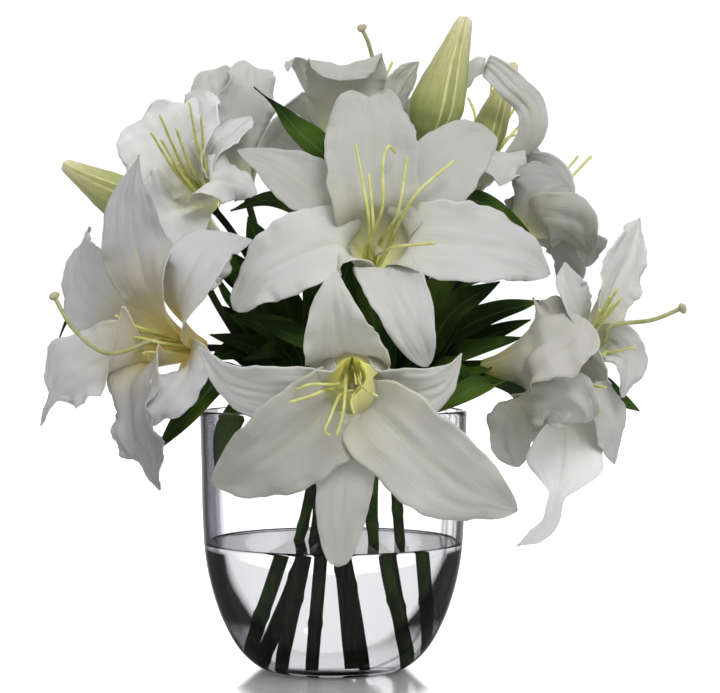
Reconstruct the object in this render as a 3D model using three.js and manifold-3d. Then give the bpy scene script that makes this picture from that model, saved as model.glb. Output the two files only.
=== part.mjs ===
// White lilies in a clear glass vase, in millimetres, +Z up.
// The origin is the centre of the vase's flat underside.
import * as THREE from 'three';
import { mergeVertices } from 'three/addons/utils/BufferGeometryUtils.js';
import Module from 'manifold-3d';

const wasm = await Module();
wasm.setup();

// Driving dimensions
const VASE_HEIGHT = 175;
const WATER_LEVEL = 85;
const WATER_EDGE = 84.2; // the vase's inner radius at that level
const VASE_SEGMENTS = 32;
const STEM_RADIUS = 3.9;
const STALK_RADIUS = 2.4;
const TUBE_LENGTH = 46; // how far a lily's throat opens ahead of the stalk's end
const OPEN_LATE = 56; // a tepal that turns outward before this leaves out the tube's last stretch
const TEPAL_THICKNESS = 1.1;
const LEAF_THICKNESS = 1.0;
const INNER_WIDTH = 50;
const OUTER_WIDTH = 38;
const GAP = 0.35; // what every piece keeps to its neighbours
const FORWARD = 0.3; // the least that a sheet's margin moves on, as a share of its middle line

// Flowers are described as they are seen from the front, so a place is given by where its
// line of sight crosses the plane through the vase's axis, and by its depth behind that plane.
const EYE = new THREE.Vector3(18, -1300, 227);
const EYE_DISTANCE = 1300;

const colours = {
  glass: { color: 0xdfe6ea, roughness: 0.03, metalness: 0, transparent: true, opacity: 0.35 },
  water: { color: 0xcfd8de, roughness: 0.02, metalness: 0, transparent: true, opacity: 0.4 },
  stem: { color: 0x2c3a1e, roughness: 0.6, metalness: 0 },
  petal: { color: 0xe9e9ec, roughness: 0.55, metalness: 0 },
  leaf: { color: 0x1d3f1c, roughness: 0.4, metalness: 0 },
  bud: { color: 0x9aa468, roughness: 0.55, metalness: 0 },
  pistil: { color: 0xb9c089, roughness: 0.5, metalness: 0 },
};

const vector = ([x, y, z]) => new THREE.Vector3(x, y, z);

function seen([across, up, depth]) {
  const reach = 1 + depth / EYE_DISTANCE;
  return new THREE.Vector3(across, 0, up).sub(EYE).multiplyScalar(reach).add(EYE);
}

// A unit vector turned from the viewer (0) to the right (+90), and raised above level.
function heading([turn, rise]) {
  const t = THREE.MathUtils.degToRad(turn);
  const r = THREE.MathUtils.degToRad(rise);
  return new THREE.Vector3(Math.sin(t) * Math.cos(r), -Math.cos(t) * Math.cos(r), Math.sin(r));
}

// Solids

function solidFrom(positions, triangles) {
  const build = (indices) => new wasm.Manifold(
    new wasm.Mesh({
      numProp: 3,
      vertProperties: new Float32Array(positions),
      triVerts: new Uint32Array(indices),
    }),
  );
  const solid = build(triangles);
  if (solid.volume() > 0) return solid;
  const turned = [];
  for (let i = 0; i < triangles.length; i += 3) {
    turned.push(triangles[i], triangles[i + 2], triangles[i + 1]);
  }
  return build(turned);
}

function solidOf(geometry) {
  geometry.deleteAttribute('normal');
  geometry.deleteAttribute('uv');
  const merged = mergeVertices(geometry, 1e-3);
  return solidFrom(merged.attributes.position.array, merged.index.array);
}

// Closed rings of equal length, joined one to the next and capped as flat strips. A ring runs
// along one face of a sheet and back along the other, and both faces share their diagonals.
function loftSolid(rings) {
  const count = rings[0].length;
  const positions = rings.flat().flatMap((p) => [p.x, p.y, p.z]);
  const triangles = [];
  for (let i = 0; i < rings.length - 1; i++) {
    for (let j = 0; j < count; j++) {
      const a = i * count + j;
      const b = i * count + ((j + 1) % count);
      const back = j >= count / 2 && j < count - 1;
      if (back) triangles.push(a, b, a + count, b, b + count, a + count);
      else triangles.push(a, b, b + count, a, b + count, a + count);
    }
  }
  const cap = (first, flip) => {
    for (let j = 0; j < count / 2 - 1; j++) {
      const [a, b, c, d] = [first + j, first + j + 1, first + count - 2 - j, first + count - 1 - j];
      triangles.push(...(flip ? [a, c, b, a, d, c] : [a, b, c, a, c, d]));
    }
  };
  cap(0, true);
  cap((rings.length - 1) * count, false);
  return solidFrom(positions, triangles);
}

function tubeSolid(points, radius, steps, curveSegments = 3) {
  const section = new THREE.Shape().absarc(0, 0, radius, 0, Math.PI * 2);
  const path = new THREE.CatmullRomCurve3(points, false, 'centripetal');
  return solidOf(new THREE.ExtrudeGeometry(section, { extrudePath: path, steps, curveSegments }));
}

// A profile of radius and height, turned round the Z axis
function turned(profile, segments) {
  const points = profile.map(([r, z]) => new THREE.Vector2(r, z));
  return new THREE.LatheGeometry(points, segments).rotateX(Math.PI / 2);
}

// Turns a shape made along +Z to lie along a direction from a place.
function aimed(geometry, place, direction) {
  const turn = new THREE.Quaternion().setFromUnitVectors(new THREE.Vector3(0, 0, 1), direction);
  return geometry.applyQuaternion(turn).translate(place.x, place.y, place.z);
}

// Thin sheets: tepals and leaves

const smooth = (from, to, x) => THREE.MathUtils.smoothstep(x, from, to);

// Half widths along a sheet as a share of its widest: narrow foot, belly, and a tip.
function outline(s, { widest, foot, tip, tail }) {
  if (s < widest) return foot + (1 - foot) * Math.sin((Math.PI / 2) * (s / widest)) ** 1.2;
  const rest = (1 - s) / (1 - widest);
  const body = Math.sin((Math.PI / 2) * rest) ** tip;
  if (!tail) return body;
  return Math.max(body * (1 - smooth(tail - 0.22, tail, s)), 0.22 * Math.min(1, (1 - s) * 12));
}

// A row's point at q, from -1 at the left margin to 1 at the right, and the way out of its face
function acrossRow({ centre, side, up, halves, arc }, q) {
  const half = halves[q < 0 ? 0 : 1];
  const place = centre.clone()
    .addScaledVector(side, (half * Math.sin(arc * q)) / arc)
    .addScaledVector(up, (half * (1 - Math.cos(arc * q))) / arc);
  const out = up.clone().multiplyScalar(Math.cos(arc * q)).addScaledVector(side, -Math.sin(arc * q));
  return { place, out };
}

// Draws a margin in where a sideways bend would fold it back over itself.
function unfold(rows) {
  for (let pass = 0; pass < 60; pass++) {
    let folded = false;
    for (let i = 1; i < rows.length; i++) {
      const [a, b] = [rows[i - 1], rows[i]];
      const step = b.centre.clone().sub(a.centre);
      for (const q of [-1, 1]) {
        const margin = acrossRow(b, q).place.sub(acrossRow(a, q).place);
        if (margin.dot(step) > FORWARD * step.lengthSq()) continue;
        for (const { halves } of [a, b]) halves[q < 0 ? 0 : 1] *= 0.94;
        folded = true;
      }
    }
    if (!folded) break;
  }
}

function sheetSolid(rows, thickness, grow) {
  unfold(rows);
  for (const { halves } of rows) halves.forEach((half, i) => { halves[i] = Math.max(half, 1) + grow; });
  return loftSolid(rows.map((row) => {
    const points = [-1, 0, 1].map((q) => acrossRow(row, q));
    const top = points.map(({ place, out }) => place.clone().addScaledVector(out, thickness / 2 + grow));
    const under = points.map(({ place, out }) => place.clone().addScaledVector(out, -thickness / 2 - grow));
    return [...top, ...under.reverse()];
  }));
}

// Where a tepal has its rings, and half the angle that it may take round the tube, in radians
const SPLIT_TEPAL = { steps: [0, 0.13, 0.26, 0.38, 0.48, 0.58, 0.7, 0.82, 0.92, 1], wrap: 0.96 };
const JOINED_TEPAL = { steps: [0, 0.15, 0.32, 0.44, 0.56, 0.7, 0.85, 1], wrap: 0.5 };

// One tepal of a lily: it leaves the stalk's end, runs up the tube and then follows its path.
function tepalSolid(lily, index, grow, { steps, wrap }) {
  const { foot, axis, up, side, tepals, turn } = lily;
  const inner = index % 2 === 0;
  const own = tepals[index];
  const clock = THREE.MathUtils.degToRad(turn + 60 * index);
  const out = up.clone().multiplyScalar(Math.cos(clock)).addScaledVector(side, Math.sin(clock));
  const at = (along, away) => foot.clone().addScaledVector(axis, along).addScaledVector(out, away);
  const free = own.path.map(seen);
  const ahead = free[0].clone().sub(foot).dot(axis); // a flower that opens early has a shorter tube
  const short = Math.min(Math.max(ahead / OPEN_LATE, 0.3), 1);
  const throat = inner ? [[-grow, 3.6], [18 * short, 8]] : [[-grow, 5.6], [17 * short, 10.8]];
  if (ahead > OPEN_LATE) throat.push(inner ? [TUBE_LENGTH, 19] : [TUBE_LENGTH - 2, 24.5]);
  const points = throat.map(([along, away]) => at(along, away));
  const path = new THREE.CatmullRomCurve3([...points, ...free], false, 'centripetal');
  const wide = own.wide ?? (inner ? INNER_WIDTH : OUTER_WIDTH);
  const shape = {
    widest: own.widest ?? 0.6, foot: 0.2, tip: own.tip ?? (inner ? 0.7 : 0.85), tail: own.tail,
  };
  const cup = own.cup ?? (inner ? 0.35 : 0.3);
  const rows = steps.map((s) => {
    const centre = path.getPointAt(s);
    const along = path.getTangentAt(s);
    const spoke = centre.clone().sub(foot);
    spoke.addScaledVector(axis, -spoke.dot(axis));
    const away = spoke.length();
    spoke.divideScalar(away);
    const across = new THREE.Vector3().crossVectors(axis, spoke);
    across.addScaledVector(along, -across.dot(along)).normalize();
    across.applyAxisAngle(along, (own.twist ?? 0) * smooth(0.25, 0.65, s));
    const face = new THREE.Vector3().crossVectors(along, across);
    const loose = smooth(0.3, 0.52, s);
    const most = away * wrap + 60 * loose;
    const half = Math.min((wide / 2) * outline(s, shape), most);
    const arc = THREE.MathUtils.lerp(Math.min(half / away, wrap), cup, loose);
    return { centre, side: across, up: face, halves: [half, half], arc };
  });
  return sheetSolid(rows, TEPAL_THICKNESS, grow);
}

// Lilies, clockwise from the top one as one looks into the flower. Even tepals are the wide
// inner ones.
function lilyOf({ name, foot, facing, turn, tepals }) {
  const axis = heading(facing);
  const up = new THREE.Vector3(0, 0, 1).addScaledVector(axis, -axis.z).normalize();
  const side = new THREE.Vector3().crossVectors(up, axis);
  return { name, foot: seen(foot), axis, up, side, turn, tepals };
}

const lilies = {
  upper_front: lilyOf({
    name: 'upper_front', foot: [25, 266, -36], facing: [5, 22], turn: -5,
    tepals: [
      { path: [[27, 316, -88], [25, 351, -76], [25, 392, -48]], wide: 62, tip: 0.36 },
      { path: [[46, 302, -86], [69, 332, -76], [90, 355, -56], [107, 364, -36]], wide: 50, tip: 0.45 },
      { path: [[53, 288, -92], [86, 288, -94], [120, 283, -80], [147, 267, -62]], wide: 56 },
      { path: [[34, 271, -102], [47, 246, -118], [56, 223, -122], [64, 204, -116]], wide: 40, tip: 0.6 },
      { path: [[4, 288, -92], [-23, 281, -95], [-49, 266, -87], [-68, 243, -74]], wide: 54, tip: 0.6 },
      { path: [[8, 303, -84], [-15, 325, -72], [-40, 342, -56], [-65, 351, -42]], wide: 40 },
    ],
  }),
  lower_front: lilyOf({
    name: 'lower_front', foot: [13, 209, -84], facing: [0, -18], turn: -5,
    tepals: [
      { path: [[7, 214, -148], [1, 236, -164], [0, 255, -168], [2, 271, -158]], wide: 52, widest: 0.45, tip: 1.1 },
      { path: [[37, 189, -146], [59, 187, -150], [77, 195, -142], [87, 213, -130]], wide: 34, tip: 1 },
      { path: [[27, 178, -144], [55, 149, -154], [89, 122, -151], [125, 106, -137]], wide: 60 },
      { path: [[11, 171, -140], [9, 137, -142], [5, 100, -135], [3, 68, -124]], wide: 42, tip: 0.36 },
      { path: [[-1, 176, -144], [-30, 152, -152], [-58, 134, -147], [-82, 125, -132]], wide: 62, tip: 0.6 },
      { path: [[-9, 189, -144], [-40, 186, -145], [-70, 193, -132], [-92, 218, -114]], wide: 36, tip: 1 },
    ],
  }),
  left: lilyOf({
    name: 'left', foot: [-89, 217, -30], facing: [-50, 5], turn: 0,
    tepals: [
      { path: [[-125, 256, -62], [-133, 297, -60], [-135, 324, -54], [-133, 346, -42]], wide: 54, tip: 0.9, twist: 0.5 },
      { path: [[-98, 246, -72], [-94, 268, -80], [-81, 285, -72], [-55, 290, -58]], wide: 40 },
      { path: [[-110, 200, -84], [-106, 178, -92], [-110, 151, -84], [-102, 125, -70]], wide: 36 },
      { path: [[-128, 185, -72], [-132, 161, -76], [-126, 137, -72], [-118, 119, -62]], wide: 38 },
      { path: [[-149, 214, -48], [-169, 210, -45], [-190, 198, -38], [-199, 166, -25]], wide: 52, tail: 0.9 },
      { path: [[-152, 249, -30], [-167, 266, -8], [-172, 287, 12], [-162, 307, 30]], wide: 54 },
    ],
  }),
  lower_right: lilyOf({
    name: 'lower_right', foot: [100, 203, -45], facing: [80, -8], turn: 0,
    tepals: [
      { path: [[138, 225, -40], [158, 240, -36], [170, 240, -30]], wide: 44 },
      { path: [[140, 205, -12], [158, 205, 8], [166, 192, 22]], wide: 36 },
      { path: [[136, 183, -38], [126, 166, -28], [122, 149, -24], [121, 134, -20]], wide: 42, twist: -0.9 },
      {
        path: [[155, 168, -50], [157, 150, -54], [155, 130, -56], [151, 113, -58], [146, 96, -54],
          [125, 82, -50]],
        wide: 54, widest: 0.5, tail: 0.78, twist: 1.4,
      },
      { path: [[140, 191, -80], [164, 191, -88], [176, 183, -82]], wide: 48 },
      { path: [[130, 219, -72], [144, 236, -78], [162, 249, -70]], wide: 54 },
    ],
  }),
  right: lilyOf({
    name: 'right', foot: [158, 211, -25], facing: [50, 15], turn: 0,
    tepals: [
      { path: [[181, 236, -40], [191, 259, -38], [202, 283, -28], [208, 305, -12]], wide: 42, tip: 1 },
      { path: [[186, 236, -8], [190, 246, 12], [186, 250, 32]] },
      { path: [[185, 222, -35], [195, 215, -40], [200, 198, -50], [196, 183, -52]], wide: 34 },
      { path: [[171, 196, -50], [180, 181, -52], [189, 161, -42], [191, 138, -28]], wide: 38 },
      { path: [[168, 207, -62], [178, 203, -72], [189, 192, -74]], wide: 34 },
      { path: [[168, 236, -60], [162, 256, -70], [157, 275, -68]], wide: 44 },
    ],
  }),
  upper_left: lilyOf({
    name: 'upper_left', foot: [-82, 312, 12], facing: [-38, 38], turn: 0,
    tepals: [
      { path: [[-101, 351, -14], [-104, 368, -5], [-106, 380, 6], [-106, 389, 20]], wide: 48, tip: 0.5 },
      { path: [[-85, 351, -10], [-69, 368, 2], [-51, 380, 24]], wide: 44 },
      { path: [[-87, 331, -20], [-67, 332, -10], [-45, 325, 0]], wide: 36 },
      { path: [[-98, 314, -34], [-91, 293, -38], [-87, 275, -32]], wide: 38 },
      { path: [[-115, 324, -34], [-118, 307, -40], [-114, 290, -40], [-109, 275, -34]], wide: 50, tip: 0.5 },
      { path: [[-118, 344, -26], [-127, 352, -24], [-133, 358, -16], [-137, 363, -6]], wide: 44, tip: 0.5 },
    ],
  }),
  back_left: lilyOf({
    name: 'back_left', foot: [-60, 324, 30], facing: [-150, 60], turn: -30,
    tepals: [
      { path: [[-58, 375, 30], [-55, 395, 30], [-55, 412, 40]], wide: 46 },
      { path: [[-76, 372, 32], [-81, 392, 34], [-85, 408, 44]], wide: 46 },
      { path: [[-98, 362, 45], [-112, 358, 58], [-118, 340, 68]], wide: 44 },
      { path: [[-88, 368, 75], [-102, 362, 98], [-108, 342, 114]] },
      { path: [[-62, 372, 85], [-60, 368, 108], [-58, 348, 124]] },
      { path: [[-40, 360, 58], [-28, 350, 76], [-22, 332, 88]] },
    ],
  }),
  top_back: lilyOf({
    name: 'top_back', foot: [8, 344, 10], facing: [180, 62], turn: 0,
    tepals: [
      { path: [[1, 366, -2], [6, 384, -6], [6, 396, 2], [-6, 405, 12], [-26, 412, 20]], wide: 54 },
      { path: [[-11, 368, 10], [-23, 380, 12], [-34, 387, 22]], wide: 36 },
      { path: [[-18, 366, 48], [-30, 356, 70], [-36, 336, 84]] },
      { path: [[8, 372, 70], [8, 364, 98], [8, 344, 114]] },
      { path: [[38, 370, 50], [50, 360, 74], [54, 340, 88]] },
      { path: [[35, 375, 15], [45, 392, 20], [58, 411, 30]], wide: 40 },
    ],
  }),
  back_right: lilyOf({
    name: 'back_right', foot: [93, 324, 25], facing: [150, 50], turn: 30,
    tepals: [
      { path: [[88, 352, 22], [80, 350, 6], [74, 338, -2]] },
      { path: [[75, 350, 60], [60, 352, 80], [48, 340, 95]] },
      { path: [[95, 345, 85], [90, 335, 110], [85, 315, 125]] },
      { path: [[125, 345, 80], [140, 335, 100], [150, 315, 108]] },
      { path: [[124, 350, 45], [131, 371, 50], [117, 398, 45], [99, 410, 35], [93, 396, 25]], wide: 34 },
      { path: [[110, 350, 14], [118, 345, 0], [122, 330, -6]] },
    ],
  }),
  right_back: lilyOf({
    name: 'right_back', foot: [120, 294, 10], facing: [118, 35], turn: 0,
    tepals: [
      { path: [[138, 318, 10], [136, 328, 28], [127, 330, 48]] },
      { path: [[146, 314, 36], [148, 318, 60], [140, 308, 82]] },
      { path: [[160, 300, 50], [168, 290, 75], [170, 272, 92]] },
      { path: [[150, 285, 15], [160, 265, 22], [160, 245, 26]] },
      { path: [[144, 302, -12], [160, 298, -12], [174, 280, -2]], wide: 46 },
      { path: [[134, 314, -6], [146, 326, -6], [160, 328, 8]], wide: 50, tip: 0.5 },
    ],
  }),
};

// Stems: cut end on the vase's floor, crossing in the mouth, then a stalk to each head.
// A route is given in plain x, y, z; the heads that it carries take over from its last point.
const stems = [
  { name: 'stem_1', route: [[-44, 6, 14], [-23, 10, 88], [2, 12, 170], [60, 0, 206]], heads: ['right'] },
  { name: 'stem_2', route: [[-34, 24, 12], [-11, 26, 88], [14, 28, 170], [50, 28, 240]], heads: ['back_right', 'bud_right'] },
  { name: 'stem_3', route: [[-28, -8, 10], [-13, 0, 88], [2, 0, 170], [50, 8, 225]], heads: ['right_back'] },
  { name: 'stem_4', route: [[-12, -26, 10], [-6, -30, 88], [0, -34, 170], [8, -44, 205]], heads: ['lower_front'] },
  { name: 'stem_5', route: [[18, -24, 10], [5, -16, 88], [-14, -14, 170], [-50, -18, 200]], heads: ['left', 'bud_left'] },
  { name: 'stem_6', route: [[42, -12, 13], [27, -14, 88], [34, -18, 170], [55, -28, 195]], heads: ['lower_right'] },
  { name: 'stem_7', route: [[36, 14, 12], [27, 2, 88], [18, -12, 170], [20, -16, 225]], heads: ['upper_front', 'bud_top'] },
  { name: 'stem_8', route: [[50, 2, 20], [45, 2, 88], [38, 8, 170], [24, 22, 260]], heads: ['top_back'] },
  { name: 'stem_9', route: [[8, 38, 12], [2, 34, 88], [-12, 30, 170], [-40, 18, 250]], heads: ['back_left', 'upper_left'] },
];

// Buds: foot and tip as seen from the front
const buds = {
  bud_top: { foot: [66, 352, 0], tip: [91, 442, 4], wide: 39 },
  bud_right: { foot: [95, 344, 36], tip: [124, 410, 42], wide: 28 },
  bud_left: { foot: [-132, 312, -6], tip: [-185, 344, -12], wide: 31 },
};

function budAxis(bud) {
  const foot = seen(bud.foot);
  const tip = seen(bud.tip);
  const axis = tip.clone().sub(foot);
  const length = axis.length();
  return { foot, tip, length, axis: axis.divideScalar(length) };
}

function budSolid(bud, grow) {
  const { foot, length, axis } = budAxis(bud);
  const radius = bud.wide / 2;
  const profile = [[0, 0], [0.22, 0.02], [0.6, 0.12], [0.92, 0.28], [1, 0.42], [0.86, 0.62],
    [0.58, 0.82], [0.34, 0.95], [0.2, 1], [0, 1]];
  const grown = profile.map(([away, along]) => {
    const wider = away > 0 ? grow : 0;
    return [radius * away + wider, length * along + (along > 0.5 ? grow : -grow)];
  });
  return solidOf(aimed(turned(grown, 12), foot, axis));
}

// Where a stalk ends, and the way it points there
function headOf(name) {
  if (lilies[name]) return { place: lilies[name].foot, axis: lilies[name].axis, over: 2 };
  const { foot, axis } = budAxis(buds[name]);
  return { place: foot, axis, over: -GAP };
}

function stemSolid(stem, grow) {
  const route = stem.route.map(vector);
  const main = tubeSolid(route, STEM_RADIUS + grow, 9, 4);
  return stem.heads.reduce((solid, name) => {
    const { place, axis, over } = headOf(name);
    const last = route[route.length - 1];
    const before = route[route.length - 2];
    const root = last.clone().lerp(before, 0.06);
    const bend = last.clone().lerp(place, 0.45).addScaledVector(axis, -8);
    const neck = place.clone().addScaledVector(axis, -22);
    const end = place.clone().addScaledVector(axis, over + grow);
    return solid.add(tubeSolid([root, bend, neck, end], STALK_RADIUS + grow, 8));
  }, main);
}

// Leaves grow from a stem: on is the stem, from is the height of the joint in its route.
const leaves = [
  { name: 'leaf_under_left', on: 'stem_5', from: 3, path: [[-74, 198, -60], [-98, 173, -70], [-120, 147, -68]], wide: 21 },
  { name: 'leaf_top_left', on: 'top_back', path: [[-2, 344, -5], [-23, 363, -10], [-38, 380, -8], [-54, 394, -2]], wide: 17 },
  { name: 'leaf_upper_left', on: 'upper_front', path: [[-10, 300, -30], [-40, 317, -38], [-70, 310, -35]], wide: 20 },
  { name: 'leaf_upper_right', on: 'back_right', path: [[84, 318, -10], [103, 315, -25], [133, 296, -22]], wide: 15 },
  { name: 'leaf_far_left', on: 'bud_left', path: [[-152, 239, 0], [-176, 241, 5], [-189, 218, 8]], wide: 14 },
  { name: 'leaf_far_right', on: 'right', path: [[160, 199, -12], [178, 191, -16], [194, 182, -12], [208, 174, -4]], wide: 19 },
  { name: 'leaf_centre_left', on: 'stem_5', from: 2, path: [[-30, 222, -58], [-69, 240, -55]], wide: 28 },
  { name: 'leaf_centre_back', on: 'stem_9', from: 2, path: [[-43, 225, -20], [-71, 252, -30]], wide: 30 },
  { name: 'leaf_centre', on: 'stem_7', from: 2, path: [[28, 228, -50], [16, 275, -48]], wide: 30 },
  { name: 'leaf_right_high', on: 'stem_6', from: 3, path: [[80, 240, -46], [113, 262, -45]], wide: 24 },
  { name: 'leaf_right_middle', on: 'stem_1', from: 3, path: [[95, 234, -30], [140, 249, -28]], wide: 22 },
  { name: 'leaf_right_low', on: 'stem_3', from: 3, path: [[95, 222, -20], [134, 236, -20]], wide: 20 },
  { name: 'leaf_rim_right', on: 'lower_right', path: [[121, 186, -80], [105, 192, -92], [88, 186, -98], [60, 170, -96]], wide: 20 },
];

function jointOf(leaf) {
  const stem = stems.find(({ name }) => name === leaf.on);
  if (stem) return vector(stem.route[leaf.from]);
  const { place, axis } = headOf(leaf.on);
  return place.clone().addScaledVector(axis, -20);
}

const LEAF_STEPS = [0, 0.15, 0.32, 0.5, 0.68, 0.85, 1];

function leafSolid(leaf, grow) {
  const path = new THREE.CatmullRomCurve3([jointOf(leaf), ...leaf.path.map(seen)], false, 'centripetal');
  const shape = { widest: 0.5, foot: 0.15, tip: 0.9 };
  const chord = path.getPointAt(1).sub(path.getPointAt(0));
  const level = new THREE.Vector3().crossVectors(chord, new THREE.Vector3(0, -0.75, 0.66));
  const rows = LEAF_STEPS.map((s) => {
    const along = path.getTangentAt(s);
    const side = level.clone().addScaledVector(along, -level.dot(along)).normalize();
    const up = new THREE.Vector3().crossVectors(side, along);
    const half = (leaf.wide / 2) * outline(s, shape);
    return { centre: path.getPointAt(s), side, up, halves: [half, half], arc: 0.3 };
  });
  return sheetSolid(rows, LEAF_THICKNESS, grow);
}

// Pistils that stand clear of their flowers: the style's route, ending in the stigma
const pistils = [
  { name: 'pistil_left', lily: 'left', path: [[-122, 222, -60], [-153, 213, -70], [-176, 229, -74], [-190, 252, -76]] },
  { name: 'pistil_right', lily: 'right', path: [[188, 231, -50], [217, 236, -56], [237, 244, -60]] },
  { name: 'pistil_top', lily: 'top_back', path: [[28, 392, 34], [24, 423, 30], [19, 434, 26]] },
];

function pistilSolid({ lily, path }, grow) {
  const { foot, axis } = lilies[lily];
  const start = foot.clone().addScaledVector(axis, 2.4 - grow);
  const bend = foot.clone().addScaledVector(axis, 30);
  const route = [start, bend, ...path.map(seen)];
  const tip = route[route.length - 1];
  const style = tubeSolid(route, 1.2 + grow, 9);
  const stigma = new THREE.SphereGeometry(3.4 + grow, 8, 4).translate(tip.x, tip.y, tip.z);
  return style.add(solidOf(stigma));
}

// The vase: outside and inside profiles as radius and height
const VASE_OUTSIDE = [[0, 0], [44, 0], [52, 3], [64, 15], [75, 33], [82, 53], [86.5, 74], [88.6, 100],
  [89.6, 140], [90.5, VASE_HEIGHT - 1]];
const VASE_INSIDE = [[89, VASE_HEIGHT], [87.6, VASE_HEIGHT - 1], [86.6, 140], [85.6, 100], [83.4, 76],
  [78.8, 55], [71.6, 37], [60.5, 20], [48, 10], [38, 8], [0, 8]];

function vaseSolid() {
  return solidOf(turned([...VASE_OUTSIDE, ...VASE_INSIDE], VASE_SEGMENTS));
}

function waterSolid() {
  const below = VASE_INSIDE.filter(([, z]) => z < WATER_LEVEL).reverse();
  const profile = below.map(([r, z]) => [Math.max(r - 1.2 * GAP, 0), z + GAP]);
  const edge = WATER_EDGE - 1.2 * GAP;
  return solidOf(turned([...profile, [edge, WATER_LEVEL], [0, WATER_LEVEL]], VASE_SEGMENTS));
}

// Putting the bouquet together: each piece is cut back from those already placed

const part = new THREE.Group();
const placed = [];

function boxesMeet(a, b) {
  const p = a.boundingBox();
  const q = b.boundingBox();
  return [0, 1, 2].every((i) => p.min[i] < q.max[i] && q.min[i] < p.max[i]);
}

function largest(solid) {
  return solid.decompose().reduce((best, one) => (one.volume() > best.volume() ? one : best));
}

function geometryOf(solid) {
  const { vertProperties, triVerts } = solid.getMesh();
  const geometry = new THREE.BufferGeometry();
  geometry.setAttribute('position', new THREE.BufferAttribute(vertProperties, 3));
  geometry.setIndex(new THREE.BufferAttribute(triVerts, 1));
  return geometry;
}

function place(name, make, finish) {
  const whole = make(0);
  const cut = placed.filter((other) => boxesMeet(whole, other)).reduce((a, b) => a.subtract(b), whole);
  const solid = largest(solidOf(geometryOf(largest(cut)))); // again, for what rounding parted
  placed.push(make(GAP).add(whole));
  const geometry = geometryOf(solid);
  geometry.computeVertexNormals();
  const mesh = new THREE.Mesh(geometry, new THREE.MeshStandardMaterial(finish));
  mesh.name = name;
  part.add(mesh);
}

place('vase', () => vaseSolid(), colours.glass);
stems.forEach((stem) => place(stem.name, (grow) => stemSolid(stem, grow), colours.stem));
place('water', () => waterSolid(), colours.water);
pistils.forEach((pistil) => place(pistil.name, (grow) => pistilSolid(pistil, grow), colours.pistil));

Object.entries(buds).forEach(([name, bud]) => place(name, (grow) => budSolid(bud, grow), colours.bud));

const SPLIT_LILIES = ['upper_front', 'lower_front', 'left', 'lower_right'];
for (const lily of Object.values(lilies)) {
  if (!SPLIT_LILIES.includes(lily.name)) continue;
  lily.tepals.forEach((_, i) => {
    place(`${lily.name}_tepal_${i + 1}`, (grow) => tepalSolid(lily, i, grow, SPLIT_TEPAL), colours.petal);
  });
}

// The other flowers are each one solid: six tepals joined at the stalk's end.
function wholeLilySolid(lily, grow) {
  const { foot, axis } = lily;
  const heart = new THREE.CylinderGeometry(6.4 + grow, 6.4 + grow, 6 + 2 * grow, 10).rotateX(Math.PI / 2);
  const middle = foot.clone().addScaledVector(axis, 5.6);
  const all = lily.tepals.map((_, i) => tepalSolid(lily, i, grow, JOINED_TEPAL));
  return all.reduce((a, b) => a.add(b), solidOf(aimed(heart, middle, axis)));
}

for (const lily of Object.values(lilies)) {
  if (SPLIT_LILIES.includes(lily.name)) continue;
  place(`${lily.name}_lily`, (grow) => wholeLilySolid(lily, grow), colours.petal);
}
leaves.forEach((leaf) => place(leaf.name, (grow) => leafSolid(leaf, grow), colours.leaf));

export default part;
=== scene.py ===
# %% [markdown]
# White lilies in a clear glass vase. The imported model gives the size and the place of
# every piece. Here each petal, leaf, bud and stem gets its fine surface and its finish.
# Loading the frame comes first, because nothing may be measured before it is there.

import math
from bisect import bisect_right
from types import SimpleNamespace

import bmesh
import bpy
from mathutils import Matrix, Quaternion, Vector, noise


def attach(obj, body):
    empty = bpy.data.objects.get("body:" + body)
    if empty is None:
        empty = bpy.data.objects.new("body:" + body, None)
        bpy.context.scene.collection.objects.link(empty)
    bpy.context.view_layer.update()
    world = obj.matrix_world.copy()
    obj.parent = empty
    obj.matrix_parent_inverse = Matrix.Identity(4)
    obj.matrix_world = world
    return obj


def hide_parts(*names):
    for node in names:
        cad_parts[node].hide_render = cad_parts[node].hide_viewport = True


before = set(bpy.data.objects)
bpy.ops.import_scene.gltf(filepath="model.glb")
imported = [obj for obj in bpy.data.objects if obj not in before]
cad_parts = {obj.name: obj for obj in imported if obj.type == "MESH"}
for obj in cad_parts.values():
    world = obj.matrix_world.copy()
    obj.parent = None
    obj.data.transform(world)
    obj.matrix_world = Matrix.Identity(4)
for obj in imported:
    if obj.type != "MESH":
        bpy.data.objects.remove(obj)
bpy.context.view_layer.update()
print("nodes in the frame:", len(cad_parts))

# %% [markdown]
# The bouquet is laid out as a florist sees it, from the front. A place is given in
# millimetres as across, up and depth: where its line of sight crosses the plane through
# the vase's axis, and how far behind that plane it lies. Moving along the line of sight
# changes the depth without changing what the front view shows.

# %% Places
MM = 0.001
EYE = Vector((18, -1300, 227))
EYE_DISTANCE = -EYE.y
UPWARD = Vector((0, 0, 1))


def seen(place):
    across, up, depth = place
    return EYE + (Vector((across, 0, up)) - EYE) * (1 + depth / EYE_DISTANCE)


def heading(turn, rise):
    t, r = math.radians(turn), math.radians(rise)
    return Vector((math.sin(t) * math.cos(r), -math.cos(t) * math.cos(r), math.sin(r)))


def square_to(axis, vector):
    return vector - axis * vector.dot(axis)


def smooth(low, high, x):
    t = min(max((x - low) / (high - low), 0), 1)
    return t * t * (3 - 2 * t)


def mix(a, b, t):
    return a + (b - a) * t


def letters(name):
    return sum(ord(letter) for letter in name)


print("the line of sight meets the vase's axis at", tuple(seen((0, 227, 0))))

# %% [markdown]
# Stems, petals and filaments all follow smooth lines. A Catmull-Rom curve passes through
# every point that it is given, so a line can be drawn from a few places read off the
# flower. The centripetal kind doesn't loop where two places lie close together.

# %% Smooth routes
DENSE = 24
ALONG_STEP = 0.004


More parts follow.
